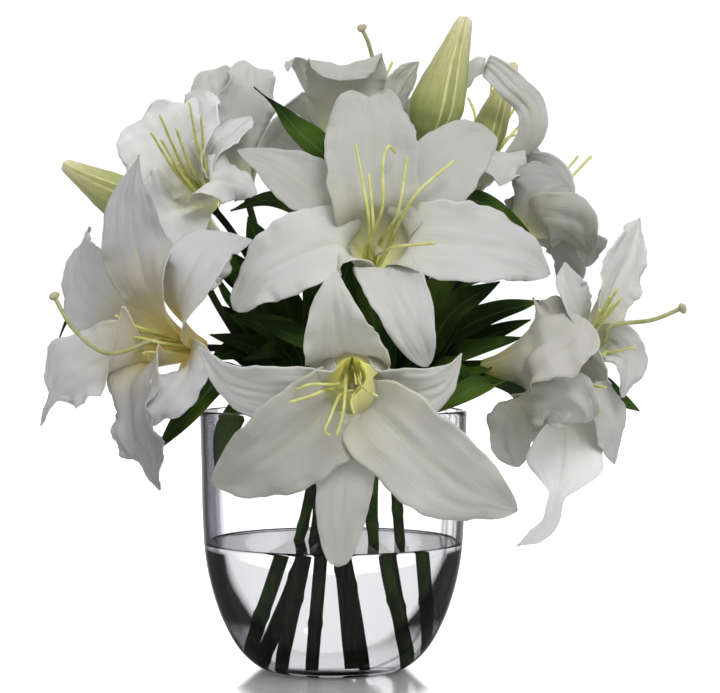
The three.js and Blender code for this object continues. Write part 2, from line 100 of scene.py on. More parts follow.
class Route:
    """A centripetal Catmull-Rom curve through points, measured along its length."""

    def __init__(self, points):
        points = [Vector(p) for p in points]
        self.places = [points[0].copy()]
        for i in range(len(points) - 1):
            b, c = points[i], points[i + 1]
            a = points[i - 1] if i else b * 2 - c
            d = points[i + 2] if i + 2 < len(points) else c * 2 - b
            self.places += [self.between(a, b, c, d, k / DENSE) for k in range(1, DENSE + 1)]
        self.lengths = [0.0]
        for p, q in zip(self.places, self.places[1:]):
            self.lengths.append(self.lengths[-1] + (q - p).length)

    @staticmethod
    def between(a, b, c, d, t):
        first, middle, last = (max((q - p).length ** 0.5, 1e-4) for p, q in ((a, b), (b, c), (c, d)))
        leave = ((b - a) / first - (c - a) / (first + middle) + (c - b) / middle) * middle
        arrive = ((c - b) / middle - (d - b) / (middle + last) + (d - c) / last) * middle
        square = (c - b) * 3 - leave * 2 - arrive
        cube = (b - c) * 2 + leave + arrive
        return b + leave * t + square * t * t + cube * t**3

    def at(self, s):
        target = min(max(s, 0), 1) * self.lengths[-1]
        after = min(bisect_right(self.lengths, target), len(self.lengths) - 1)
        start, end = self.lengths[after - 1], self.lengths[after]
        return self.places[after - 1].lerp(self.places[after], (target - start) / (end - start))

    def along(self, s):
        return (self.at(s + ALONG_STEP) - self.at(s - ALONG_STEP)).normalized()


print("a test route is", round(Route([(0, 0, 0), (0, 5, 5), (0, 10, 5)]).lengths[-1], 2), "mm long")

# %% [markdown]
# Every finish below is made of nodes. These helpers keep each finish to a few lines: one
# adds a node and fills its sockets, one makes a ramp of colours, one mixes two colours. The
# white room is made of nodes too, so the helpers stand apart from the material.

# %% Node helpers


class Nodes:
    """Short ways to add nodes to a material or to the world."""

    def __init__(self, tree):
        self.tree = tree

    def fill(self, socket, value):
        """Fills a socket with another node's output or with a plain value."""
        if isinstance(value, bpy.types.NodeSocket):
            self.tree.links.new(value, socket)
        else:
            socket.default_value = value

    def add(self, kind, sockets=None, **properties):
        node = self.tree.nodes.new(f"ShaderNode{kind}")
        for key, value in properties.items():
            setattr(node, key, value)
        for key, value in (sockets or {}).items():
            self.fill(node.inputs[key], value)
        return node

    def attribute(self, name):
        return self.add("Attribute", attribute_name=name).outputs["Fac"]

    def places(self):
        return self.add("TexCoord").outputs["Object"]

    def place_on(self, axis):
        return self.add("SeparateXYZ", {0: self.places()}).outputs[axis]

    def edge_on(self):
        """0 where the surface faces the eye and 1 where it is seen edge on."""
        return self.add("LayerWeight", {"Blend": 0.5}).outputs["Facing"]

    def reckon(self, operation, a, b=0.0, c=0.0):
        return self.add("Math", {0: a, 1: b, 2: c}, operation=operation).outputs[0]

    def times(self, a, b):
        return self.reckon("MULTIPLY", a, b)

    def spread(self, value, low, high, to_low=0.0, to_high=1.0):
        sockets = {"Value": value, "From Min": low, "From Max": high, "To Min": to_low, "To Max": to_high}
        return self.add("MapRange", sockets, interpolation_type="SMOOTHSTEP").outputs["Result"]

    def ramp(self, value, stops):
        node = self.add("ValToRGB", {"Fac": value})
        elements = node.color_ramp.elements
        while len(elements) < len(stops):
            elements.new(0.5)
        for element, (place, colour) in zip(elements, stops):
            element.position = place
            element.color = (*colour, 1)
        return node.outputs["Color"]

    def blend(self, share, a, b):
        node = self.add("Mix", {0: share}, data_type="RGBA")
        for key, colour in ((6, a), (7, b)):
            self.fill(node.inputs[key], (*colour, 1) if isinstance(colour, tuple) else colour)
        return node.outputs[2]

    def noise(self, vector, scale, detail=2.0):
        sockets = {"Vector": vector, "Scale": scale, "Detail": detail, "Roughness": 0.5}
        return self.add("TexNoise", sockets).outputs["Fac"]

    def lines(self, across, along, scale, detail):
        """Noise drawn out into lines: across and along are (output, its own scale)."""
        pattern = self.add("CombineXYZ", {0: self.times(*across), 1: self.times(*along)})
        return self.noise(pattern.outputs[0], scale, detail)


class Finish(Nodes):
    """A material, its shader's plain values and short ways to give it colour and relief."""

    def __init__(self, name, **settings):
        self.material = bpy.data.materials.new(name)
        self.material.use_nodes = True
        super().__init__(self.material.node_tree)
        self.shader = self.tree.nodes["Principled BSDF"]
        for socket, value in settings.items():
            self.shader.inputs[socket.replace("_", " ")].default_value = value

    def give(self, socket, output):
        self.tree.links.new(output, self.shader.inputs[socket])

    def bump(self, height, strength, distance, before=None):
        sockets = {"Height": height, "Strength": strength, "Distance": distance}
        if before:
            sockets["Normal"] = before
        normal = self.add("Bump", sockets).outputs["Normal"]
        self.give("Normal", normal)
        return normal


# %% [markdown]
# A lily's petal is cool white with a satin skin. Toward the throat it turns yellow-green,
# a green vein runs up its middle and fine veins run along it. Each petal carries two
# attributes, along and across, so the pattern follows it however it curls. The throat has
# a painted glow, an emission that stands for the light that thin petals pass on to each
# other there. No two flowers stand in the same light, so the finishes are lit and shaded
# copies: each has its own throat, flush, white and glow, with painted shade in the darker
# copies and painted light in the brighter ones.

# %% Petal finish
RIB_GREEN = (0.46, 0.5, 0.3)
VEIN_GREY = (0.5, 0.51, 0.53)
CLOUD_GREY = (0.5, 0.5, 0.52)
# Each shade is a throat, a flush, a white and a glow. The whites and glows are painted light and shade: the
# dim, deep and shaded copies carry painted shade, the bright, light and white ones painted light. Cool, warm,
# ochre, olive and plain differ in tint as well as in painted lightness.
PAINTED_PETAL_SHADES = {
    "cool": ((0.76, 0.76, 0.38), (0.58, 0.58, 0.4), (0.525, 0.525, 0.52), 0.42),
    "cool_dim": ((0.62, 0.62, 0.24), (0.5, 0.5, 0.3), (0.42, 0.42, 0.39), 0.3),
    "deep": ((0.5, 0.5, 0.22), (0.4, 0.4, 0.28), (0.33, 0.335, 0.33), 0.1),
    "warm": ((0.8, 0.78, 0.32), (0.6, 0.58, 0.34), (0.53, 0.53, 0.49), 0.5),
    "warm_dim": ((0.7, 0.67, 0.18), (0.5, 0.48, 0.27), (0.405, 0.405, 0.37), 0.3),
    "ochre": ((0.66, 0.5, 0.1), (0.66, 0.56, 0.22), (0.52, 0.52, 0.53), 0.16),
    "ochre_dim": ((0.62, 0.48, 0.1), (0.58, 0.49, 0.2), (0.345, 0.345, 0.36), 0.16),
    "olive": ((0.34, 0.32, 0.1), (0.38, 0.36, 0.18), (0.46, 0.455, 0.405), 0.06),
    "bright": ((0.62, 0.62, 0.25), (0.68, 0.68, 0.48), (0.71, 0.71, 0.71), 0.3),
    "light": ((0.7, 0.7, 0.28), (0.6, 0.6, 0.42), (0.61, 0.61, 0.6), 0.3),
    "white": ((0.62, 0.62, 0.25), (0.74, 0.74, 0.5), (0.84, 0.84, 0.84), 0.3),
    "plain": ((0.5, 0.5, 0.3), (0.5, 0.5, 0.42), (0.52, 0.52, 0.5), 0.04),
    "shaded": ((0.42, 0.42, 0.2), (0.4, 0.4, 0.33), (0.43, 0.43, 0.435), 0.1),
}


def petal_finish(name, throat, flush, white, glow):
    skin = Finish(name, Roughness=0.48, Specular_IOR_Level=0.35, Subsurface_Weight=0.3,
                  Subsurface_Radius=(1.0, 1.0, 0.75), Subsurface_Scale=0.0035, Sheen_Weight=0.06)
    along, across = skin.attribute("along"), skin.attribute("across")
    pale = tuple(mix(a, b, 0.6) for a, b in zip(flush, white))
    ground = skin.ramp(along, [(0.1, throat), (0.24, flush), (0.38, pale), (0.58, white)])
    near_middle = skin.spread(skin.reckon("ABSOLUTE", across), 0.0, 0.1, 0.5, 0.0)
    rib = skin.times(near_middle, skin.spread(along, 0.3, 0.95, 1.0, 0.12))
    veins = skin.lines((across, 13.0), (along, 2.2), 1.6, 3.0)
    ribbed = skin.blend(rib, ground, RIB_GREEN)
    veined = skin.blend(skin.spread(veins, 0.35, 0.65, 0.0, 0.12), ribbed, VEIN_GREY)
    clouds = skin.noise(skin.places(), 26.0)
    skin.give("Base Color", skin.blend(skin.spread(clouds, 0.35, 0.7, 0.0, 0.2), veined, CLOUD_GREY))
    # painted glow: the throat emits its own ground colour, standing for light the petals pass on
    skin.give("Emission Color", ground)
    skin.give("Emission Strength", skin.spread(along, 0.12, 0.38, glow, 0.0))
    grain = skin.noise(skin.places(), 900.0, 1.0)
    skin.bump(grain, 0.12, 0.0002, skin.bump(veins, 0.45, 0.0006))
    return skin.material


petal_skins = {name: petal_finish(f"petal_{name}", *shade) for name, shade in PAINTED_PETAL_SHADES.items()}
print("petal finishes:", ", ".join(petal_skins))

# %% [markdown]
# The leaves are long and glossy, almost black-green in the heart of the bouquet. A pale
# middle vein and parallel side veins run along them. Stems are matt and streaked. Their
# two finishes are a shaded and a lit copy: painted shade makes the stems in the shade
# dark, painted light makes those in the light greener. A bud is olive at its foot and
# cream at its tip, with two thin pale lines on each ridge. A filament is mottled yellow-green.

# %% Leaf, stem, bud and filament finishes


def leaf_finish():
    skin = Finish("leaf_skin", Roughness=0.4, Specular_IOR_Level=0.2, Coat_Weight=0.04, Coat_Roughness=0.3)
    along, across = skin.attribute("along"), skin.attribute("across")
    patches = skin.noise(skin.places(), 22.0)
    ground = skin.ramp(patches, [(0.3, (0.003, 0.011, 0.002)), (0.48, (0.012, 0.036, 0.004)),
                                 (0.64, (0.06, 0.11, 0.012))])
    lines = skin.lines((across, 16.0), (along, 0.8), 1.5, 2.0)
    lined = skin.blend(skin.spread(lines, 0.4, 0.65, 0.0, 0.3), ground, (0.05, 0.1, 0.02))
    rib = skin.spread(skin.reckon("ABSOLUTE", across), 0.02, 0.09, 0.6, 0.0)
    skin.give("Base Color", skin.blend(rib, lined, (0.075, 0.15, 0.045)))
    skin.bump(lines, 0.5, 0.0004)
    return skin.material


def stem_finish(name, dark, fresh, pale):
    skin = Finish(name, Roughness=0.7, Specular_IOR_Level=0.06)
    upright = skin.add("Mapping", {"Vector": skin.places(), "Scale": (1.0, 1.0, 0.12)})
    streaks = skin.noise(upright.outputs[0], 380.0, 3.0)
    ground = skin.ramp(skin.noise(skin.places(), 34.0), [(0.35, dark), (0.65, fresh)])
    skin.give("Base Color", skin.blend(skin.spread(streaks, 0.45, 0.7, 0.0, 0.35), ground, pale))
    skin.bump(streaks, 0.5, 0.0005)
    return skin.material


def bud_finish():
    skin = Finish("bud_skin", Roughness=0.45, Specular_IOR_Level=0.35, Subsurface_Weight=0.15,
                  Subsurface_Radius=(1.0, 1.0, 0.5), Subsurface_Scale=0.003)
    along, ridge = skin.attribute("along"), skin.attribute("across")
    ground = skin.ramp(along, [(0.0, (0.2, 0.26, 0.08)), (0.35, (0.36, 0.39, 0.14)),
                               (0.8, (0.56, 0.54, 0.28)), (1.0, (0.76, 0.7, 0.48))])
    two_lines = skin.times(skin.spread(ridge, 0.8, 0.86, 0.0, 0.75), skin.spread(ridge, 0.9, 0.95, 1.0, 0.0))
    lined = skin.blend(two_lines, ground, (0.7, 0.66, 0.34))
    crest = skin.blend(skin.spread(ridge, 0.92, 0.98, 0.0, 0.45), lined, (0.22, 0.26, 0.07))
    grooved = skin.blend(skin.spread(ridge, 0.02, 0.2, 0.75, 0.0), crest, (0.13, 0.17, 0.03))
    streaks = skin.lines((ridge, 5.0), (along, 3.0), 3.0, 3.0)
    skin.give("Base Color", skin.blend(skin.spread(streaks, 0.4, 0.7, 0.0, 0.4), grooved, (0.22, 0.27, 0.07)))
    skin.bump(streaks, 0.4, 0.0005)
    return skin.material


def filament_finish(name, low, high):
    skin = Finish(name, Roughness=0.42, Subsurface_Weight=0.2, Subsurface_Radius=(1.0, 1.0, 0.4),
                  Subsurface_Scale=0.002)
    mottle = skin.noise(skin.places(), 120.0)
    skin.give("Base Color", skin.ramp(mottle, [(0.3, low), (0.7, high)]))
    skin.bump(mottle, 0.2, 0.0002)
    return skin.material


leaf_skin = leaf_finish()
# painted shade and light: the dark finish is a shaded copy, the green finish a lit copy
stem_skins = {
    "dark": stem_finish("stem_dark_painted_shade", (0.014, 0.017, 0.01), (0.028, 0.034, 0.018), (0.055, 0.064, 0.036)),
    "green": stem_finish("stem_green_painted_light", (0.018, 0.036, 0.006), (0.05, 0.095, 0.014), (0.08, 0.125, 0.03)),
}
bud_skin = bud_finish()
filament_skin = filament_finish("filament_skin", (0.5, 0.5, 0.12), (0.7, 0.7, 0.3))
style_skin = filament_finish("style_skin", (0.3, 0.32, 0.13), (0.5, 0.51, 0.26))
stigma_skin = filament_finish("stigma_skin", (0.42, 0.4, 0.24), (0.56, 0.53, 0.36))
print("finishes so far:", len(bpy.data.materials))

# %% [markdown]
# A petal or a leaf is one thin sheet. It starts as a flat grid, because a grid has even
# rows and columns: a row is one place along the sheet, a column is one place across it.
# Each row is then moved onto the petal's line and bent to its cup, and the margin is
# ruffled. Solidify gives the sheet its thickness last.

# %% Sheets
SAME_PLACE = 1e-6


def own_mesh(name, work, material, thickness=0.0):
    for face in work.faces:
        face.smooth = True
    mesh = bpy.data.meshes.new(name)
    work.to_mesh(mesh)
    work.free()
    mesh.materials.append(material)
    piece = bpy.data.objects.new(name, mesh)
    bpy.context.scene.collection.objects.link(piece)
    if thickness:
        wall = piece.modifiers.new("thickness", "SOLIDIFY")
        wall.thickness = thickness * MM
        wall.offset = 0
    return piece


def closed_mesh(name, work, material):
    bmesh.ops.remove_doubles(work, verts=work.verts, dist=SAME_PLACE)
    bmesh.ops.recalc_face_normals(work, faces=work.faces)
    return own_mesh(name, work, material)


def belongs(piece, slot, *nodes):
    """The piece is part of the bouquet and stands for those nodes; the slot is not used."""
    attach(piece, "root")
    if nodes:
        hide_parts(*nodes)
    return piece


def sheet_piece(name, columns, rows, place_at, material, thickness):
    """place_at(q, s) places the sheet's point that is q (-1 to 1) across and s (0 to 1) along."""
    work = bmesh.new()
    uv = work.loops.layers.uv.new("UVMap")
    bmesh.ops.create_grid(work, x_segments=columns, y_segments=rows, size=1.0)
    along, across = work.verts.layers.float.new("along"), work.verts.layers.float.new("across")
    for vert in work.verts:
        vert[across], vert[along] = vert.co.x, (vert.co.y + 1) / 2
    for face in work.faces:
        for loop in face.loops:
            loop[uv].uv = ((loop.vert[across] + 1) / 2, loop.vert[along])
    for vert in work.verts:
        vert.co = place_at(vert[across], vert[along]) * MM
    return own_mesh(name, work, material, thickness)


def outline(s, widest, foot, tip, tail):
    """Half the width at s, as a share of the widest: a narrow foot, a belly and a tip. With a
    tail the petal narrows early, and a strip a fifth as wide goes on to its end."""
    if s < widest:
        return foot + (1 - foot) * math.sin(math.pi / 2 * s / widest) ** 1.2
    body = math.sin(math.pi / 2 * max(1 - s, 0) / (1 - widest)) ** tip
    if not tail:
        return body
    return max(body * (1 - smooth(tail - 0.22, tail, s)), 0.2 * min(1, (1 - s) * 12))


# %% [markdown]
# Six petals make a lily: three wide inner ones with ruffled margins and a deep middle
# channel, and three narrower outer ones. They leave the stalk's end together, wrap round
# each other as a tube, and then each follows its own line and rolls back. The tube is
# shorter for a petal that turns outward early and for a flower that is wide open.
#
# Beside its line a petal can have a shape of its own. A notch dents its tip, a claw keeps
# its foot narrow, pleats fold it lengthwise, a flap turns up part of one margin, and a tail
# draws out its tip. These are worked into the same grid, so the sheet stays one surface.

# %% One petal
TUBE = 46
OPEN_LATE = 56
SHORTEST_TUBE = 0.3
WRAP = 0.96
LEAVES_TUBE = (0.3, 0.52)
FREE_ROOM = 40
CLAW = 12
WAVES = 3.1
WAVER = [(0.1, 6), (0.05, 19)]
RIPPLE = [(1.3, 13), (0.7, 31)]
CRUMPLE = [(1.9, 4.5, 1.7), (0.8, 9, 5), (0.35, 6, 14)]
PETAL_ROWS = 64
PETAL_COLUMNS = 26
PETAL_THICKNESS = 0.8
INNER = dict(throat=[(0, 3.6), (18, 8), (46, 19)], wide=50, tip=0.7, cup=0.35, ruffle=2.6, recurve=3.0,
             channel=1.8)
OUTER = dict(throat=[(0, 5.6), (17, 10.8), (44, 24.5)], wide=38, tip=0.85, cup=0.3, ruffle=1.3, recurve=1.8,
             channel=1.2)
EITHER = dict(widest=0.6, tail=None, twist=0.0, crumple=1.0, notch=0.0, claw=0.0, pleats=0.0, flap=None)


def rough(x, y, z):
    return noise.noise(Vector((x, y, z)))


def margin_noise(layers, s, seed, side):
    """Noise along one margin in layers of (height, how often it changes along the petal)."""
    return sum(height * rough(s * often, seed, side) for height, often in layers)


class Lily:
    """Where a flower sits and faces. Its petals are counted clockwise from the top one."""

    def __init__(self, foot, facing, turn, tube=1.0):
        self.foot = seen(foot)
        self.axis = heading(*facing)
        self.up = square_to(self.axis, UPWARD).normalized()
        self.side = self.up.cross(self.axis)
        self.turn = turn
        self.tube = tube

    def spoke(self, clock):
        angle = math.radians(self.turn + clock)
        return self.up * math.cos(angle) + self.side * math.sin(angle)

    def inside(self, ahead, away, clock):
        return self.foot + self.axis * ahead + self.spoke(clock) * away


def petal_rows(lily, index, path, shape):
    """For each row its centre, its two directions, half its width, its arc and how free it is."""
    free = [seen(p) for p in path]
    opens = (free[0] - lily.foot).dot(lily.axis)
    short = min(max(opens / OPEN_LATE, SHORTEST_TUBE), 1) * lily.tube
    root, (ahead, away), flare = shape.throat
    throat = [root, (ahead * short, away)] + ([flare] if opens > OPEN_LATE else [])
    line = Route([lily.inside(*place, 60 * index) for place in throat] + free)
    start, end = (share * lily.tube**0.5 for share in LEAVES_TUBE)
    rows = []
    for row in range(PETAL_ROWS + 1):
        s = row / PETAL_ROWS
        centre, along = line.at(s), line.along(s)
        spoke = square_to(lily.axis, centre - lily.foot)
        away = spoke.length
        across = lily.axis.cross(spoke / away)
        across = square_to(along, across).normalized()
        across.rotate(Quaternion(along, shape.twist * smooth(0.25, 0.65, s)))
        face = along.cross(across)
        loose = smooth(start, end, s)
        room = away * (WRAP + 1.1 * loose) + FREE_ROOM * loose**3
        half = min(shape.wide / 2 * outline(s, shape.widest, 0.2, shape.tip, shape.tail), room)
        clawed = min(half, CLAW + FREE_ROOM * smooth(0.46, 0.76, s))
        half = max(mix(half, clawed, shape.claw), 0.5)
        arc = max(mix(min(half / away, WRAP), shape.cup, loose), 0.02)
        rows.append((centre, across, face, half, arc, loose))
    return rows


def petal(name, lily, index, node, path, **own):
    shape = SimpleNamespace(**{**EITHER, **(OUTER if index % 2 else INNER), **own})
    rows = petal_rows(lily, index, path, shape)
    seed = letters(name) * 0.137

    def relief(q, s, side):
        """How far the surface stands off its plain cup, in millimetres."""
        wave = math.sin(2 * math.pi * (WAVES * s + 0.17 * seed) + (1.9 if q > 0 else 0))
        wave += margin_noise(RIPPLE, s, seed, side)
        lift = (shape.ruffle * wave - shape.recurve * smooth(0.45, 0.9, s)) * abs(q) ** 3
        lift -= shape.channel * math.exp(-((q / 0.12) ** 2)) * (1 - 0.6 * s)
        crumpled = sum(height * rough(s * along, q * across, seed) for height, along, across in CRUMPLE)
        pleated = math.sin(8 * q + 2.5 * rough(s * 3, seed, 9)) * (1 - 0.5 * abs(q))
        return lift + shape.crumple * crumpled + shape.pleats * pleated

    def place_at(q, s):
        centre, across, face, half, arc, loose = rows[round(s * PETAL_ROWS)]
        side = 2 if q > 0 else 5  # where in the noise each margin lies
        half *= 1 + loose * margin_noise(WAVER, s, seed, side)
        place = centre + (across * math.sin(arc * q) + face * (1 - math.cos(arc * q))) * (half / arc)
        if shape.notch:
            off = (q * half - shape.wide * 0.04) / (shape.wide * 0.13)
            place += face.cross(across) * (shape.notch * smooth(0.75, 1, s) * math.exp(-(off**2)))
        if shape.flap:
            at, rise, nearer = shape.flap
            turned_up = max(0, 1 - abs(s - at) / 0.13) * smooth(0.42, 1, q)
            place += Vector((0, -nearer, rise)) * turned_up
        # the relief dies out toward the tip and where the petal is narrow
        free = loose * (1 - smooth(0.93, 1, s)) * min(half / 14, 1)
        return place + face * (free * relief(q, s, side))

    piece = sheet_piece(name, PETAL_COLUMNS, PETAL_ROWS, place_at, petal_skins[shape.shade], PETAL_THICKNESS)
    return belongs(piece, "petal", node)


# %% [markdown]
# A filament or a style is a thin tapering tube. A curve with a round bevel makes it, with
# its own radius at each point, and it is turned into a mesh at once so that every piece of
# the bouquet is the same kind of thing.

# %% Tubes
TUBE_STEP = 2.2
FILAMENT_RADII = (1.55, 0.85)
STIGMA_RADIUS = 3.4
LOBES = 3
LOBE_DEPTH = 0.22
STIGMA_FLATNESS = 0.75


def tube_piece(name, routes, material, sides=3):
    """routes is a list of (points, radius at s) in millimetres, each one tube with closed ends."""
    line = bpy.data.curves.new(name, "CURVE")
    line.dimensions = "3D"
    line.bevel_depth = MM
    line.bevel_resolution = sides
    line.use_fill_caps = True
    for points, radius in routes:
        route = Route(points)
        count = max(8, int(route.lengths[-1] / TUBE_STEP))
        spline = line.splines.new("POLY")
        spline.points.add(count)
        for i, point in enumerate(spline.points):
            point.co = (*(route.at(i / count) * MM), 1)
            point.radius = radius(i / count)
    shaper = bpy.data.objects.new(name, line)
    mesh = bpy.data.meshes.new_from_object(shaper)
    bpy.data.objects.remove(shaper)
    bpy.data.curves.remove(line)
    work = bmesh.new()
    work.from_mesh(mesh)
    bpy.data.meshes.remove(mesh)
    return closed_mesh(name, work, material)


def taper(start, end):
    return lambda s: mix(start, end, smooth(0, 1, s))


def filaments(name, lily, tips):
    """Six bare filaments from round the ovary. A tip is a place told from the flower (ahead,
    away, clock) or a list of places seen from the front, straight if there is only one."""
    routes = []
    for i, tip in enumerate(tips):
        clock = 60 * i + 30
        root, mouth = lily.inside(3, 3, clock), lily.inside(0.8 * TUBE, 7, clock)
        if isinstance(tip, tuple):
            end = lily.inside(*tip)
            route = [root, mouth, mouth.lerp(end, 0.55) + lily.axis * 7, end]
        elif len(tip) == 1:
            end = seen(tip[0])
            route = [root, root.lerp(end, 0.55) - lily.up * 3, end]
        else:
            route = [root, mouth, *(seen(p) for p in tip)]
        routes.append((route, taper(*FILAMENT_RADII)))
    return belongs(tube_piece(name, routes, filament_skin), "pistil")


def stigma(name, place, along, radius, *nodes):
    """A knob of three lobes, from a ball whose points are moved in and out round its axis."""
    work = bmesh.new()
    bmesh.ops.create_uvsphere(work, u_segments=24, v_segments=14, radius=1.0)
    turn = UPWARD.rotation_difference(along)
    for vert in work.verts:
        lobe = 1 + LOBE_DEPTH * math.cos(LOBES * math.atan2(vert.co.y, vert.co.x)) * (1 - vert.co.z**2)
        knob = Vector((vert.co.x * lobe, vert.co.y * lobe, vert.co.z * STIGMA_FLATNESS)) * radius
        knob.rotate(turn)
        vert.co = (place + knob) * MM
    return belongs(own_mesh(name, work, stigma_skin), "pistil", *nodes)


def pistil(of, path, radius, *nodes):
    lily, name = LILIES[of], f"pistil_of_{of}"
    route = [lily.inside(3, 0, 0), lily.inside(30, 1, 0), *path]
    style = tube_piece(f"{name}_style", [(route, taper(radius * 1.15, radius))], style_skin, 4)
    belongs(style, "pistil", *nodes)
    stigma(f"{name}_stigma", route[-1], Route(route).along(1.0), STIGMA_RADIUS, *nodes)


# %% [markdown]
# The ten lilies. Each has its foot at the stalk's end, the way it faces, and six petals
# counted clockwise from the top one as one looks into the flower; the first, third and
# fifth are the inner ones. A petal that lies in another petal's shade, or catches more
# light than its flower does, gets its own painted shade: a darker or lighter copy of the
# petal finish.

# %% Lilies


def drawn(*path, **own):
    """A petal's line, seen from the front, and what it has of its own: see petal above."""
    return path, own


LILIES = {}
SPLIT_LILIES = ("upper_front", "lower_front", "left", "lower_right")


def flower(name, shade, lily, *petals):
    LILIES[name] = lily
    for index, (path, own) in enumerate(petals):
        node = f"{name}_tepal_{index + 1}" if name in SPLIT_LILIES else f"{name}_lily"
        petal(f"petal_{name}_{index + 1}", lily, index, node, path, **{"shade": shade, **own})


flower(
    "upper_front", "cool", Lily((25, 266, -36), (5, 22), -5),
    drawn((27, 316, -88), (25, 351, -76), (25, 394, -48), shade="cool_dim", wide=62, tip=0.36, ruffle=3.4,
          notch=9, crumple=1.6),
    drawn((46, 302, -86), (69, 332, -76), (90, 355, -56), (107, 364, -36), shade="cool_dim", wide=50,
          tip=0.45, claw=1),
    drawn((53, 288, -92), (86, 288, -94), (120, 283, -80), (147, 267, -62), wide=56),
    drawn((34, 271, -102), (47, 246, -118), (56, 223, -122), (64, 204, -116), wide=40, tip=0.6),
    drawn((4, 288, -92), (-23, 281, -95), (-49, 266, -87), (-68, 243, -74), shade="light", wide=54, tip=0.6),
    drawn((8, 303, -84), (-15, 325, -72), (-40, 342, -56), (-65, 351, -42), shade="cool_dim", wide=42,
          claw=1),
)
flower(
    "lower_front", "warm", Lily((13, 209, -84), (0, -18), -5),
    drawn((7, 214, -148), (1, 236, -164), (0, 255, -168), (2, 271, -158), wide=52, widest=0.45, tip=1.1),
    drawn((37, 189, -146), (59, 187, -150), (77, 195, -142), (87, 213, -130), wide=34, tip=1.0),
    drawn((27, 178, -144), (55, 149, -154), (89, 122, -151), (125, 106, -137), wide=60),
    drawn((11, 171, -140), (9, 137, -142), (5, 100, -135), (3, 68, -124), wide=38, tip=0.42, widest=0.5),
    drawn((-1, 176, -144), (-30, 152, -152), (-58, 134, -147), (-83, 124, -132), shade="warm_dim", wide=61,
          tip=0.8),
    drawn((-9, 189, -144), (-40, 186, -145), (-70, 193, -132), (-92, 218, -114), shade="light", wide=36,
          tip=1.0),
)
flower(
    "left", "ochre", Lily((-89, 217, -30), (-50, 5), 0),
    drawn((-124, 254, -62), (-136, 290, -60), (-138, 320, -54), (-132, 348, -40), shade="ochre_dim", wide=46,
          tip=1.25, twist=1.0, widest=0.5, ruffle=3.6, crumple=2.2),
    drawn((-104, 243, -70), (-98, 267, -80), (-83, 285, -72), (-55, 290, -58), wide=50),
    drawn((-100, 200, -84), (-109, 187, -96), (-119, 174, -96), (-122, 164, -92), wide=38, twist=-1.2,
          ruffle=3),
    drawn((-131, 198, -72), (-134, 168, -80), (-127, 142, -76), (-118, 120, -66), shade="ochre_dim", wide=58,
          widest=0.4, ruffle=5, crumple=3, pleats=2.6),
    drawn((-149, 211, -48), (-168, 204, -45), (-187, 191, -38), (-199, 164, -25), wide=53, tail=0.9,
          ruffle=4.5, crumple=1.8, flap=(0.4, 52, 14)),
    drawn((-152, 249, -30), (-168, 262, -8), (-173, 280, 6), (-165, 297, 18), wide=60, tip=0.5, ruffle=2.6),
)
flower(
    "lower_right", "olive", Lily((100, 203, -45), (80, -8), 0),
    drawn((138, 225, -40), (158, 240, -36), (170, 240, -30), wide=44),
    drawn((140, 205, -12), (158, 205, 8), (166, 192, 22), wide=36),
    drawn((134, 188, -52), (127, 172, -50), (123, 154, -44), (126, 136, -34), shade="warm", wide=44,
          twist=1.0, ruffle=3, pleats=1.0),
    drawn((155, 168, -50), (157, 150, -54), (155, 130, -56), (151, 113, -58), (146, 96, -54), (125, 82, -50),
          shade="white", wide=54, widest=0.5, tail=0.78, twist=1.4),
    drawn((130, 190, -76), (149, 184, -86), (163, 176, -84), (172, 166, -74), shade="warm", wide=46, tip=0.5,
          ruffle=3.4, crumple=2.2, pleats=1.0),
    drawn((128, 216, -76), (143, 226, -87), (158, 232, -86), (172, 236, -76), wide=70, tip=0.42, ruffle=3.4,
          crumple=2.2, pleats=1.8),
)
flower(
    "right", "cool", Lily((158, 211, -25), (50, 15), 0),
    drawn((181, 236, -40), (191, 259, -38), (202, 283, -28), (208, 305, -12), shade="light", wide=42,
          tip=1.0),
    drawn((186, 236, -8), (190, 246, 12), (186, 250, 32)),
    drawn((185, 222, -35), (195, 215, -40), (200, 198, -50), (196, 183, -52), wide=34),
    drawn((171, 196, -50), (180, 181, -52), (189, 161, -42), (191, 138, -28), wide=38),
    drawn((168, 207, -62), (178, 203, -72), (189, 192, -74), wide=34),
    drawn((168, 236, -60), (162, 256, -70), (157, 275, -68), wide=44),
)
flower(
    "upper_left", "bright", Lily((-82, 312, 12), (-38, 38), 0, 0.5),
    drawn((-94, 352, -12), (-93, 369, -4), (-92, 381, 6), (-93, 388, 18), wide=44, tip=0.5),
    drawn((-83, 349, -6), (-70, 364, 4), (-56, 374, 20), wide=40),
    drawn((-84, 330, -20), (-68, 330, -14), (-52, 322, -6), wide=36),
    drawn((-88, 304, 5), (-97, 291, -5), (-104, 274, -14), (-108, 254, -12), shade="white", wide=68, tip=0.34,
          twist=-0.85, ruffle=2.4),
    drawn((-95, 314, 5), (-106, 312, -5), (-120, 309, -13), (-135, 309, -9), wide=60, tip=0.36, twist=-1.0,
          ruffle=2.0),
    drawn((-94, 326, 5), (-106, 343, -5), (-119, 359, -9), (-133, 376, -2), wide=64, tip=0.36, ruffle=3,
          notch=6),
)
flower(
    "back_left", "plain", Lily((-60, 324, 30), (-150, 60), -30),
    drawn((-58, 375, 30), (-55, 395, 30), (-55, 412, 40), wide=48, ruffle=4.5, notch=5, tip=0.5),
    drawn((-76, 372, 32), (-81, 392, 34), (-85, 408, 44), wide=46, ruffle=4, notch=4, tip=0.5),
    drawn((-98, 362, 45), (-112, 358, 58), (-118, 340, 68), wide=44),
    drawn((-88, 368, 75), (-102, 362, 98), (-108, 342, 114)),
    drawn((-62, 372, 85), (-60, 368, 108), (-58, 348, 124)),
    drawn((-40, 360, 58), (-28, 350, 76), (-22, 332, 88)),
)
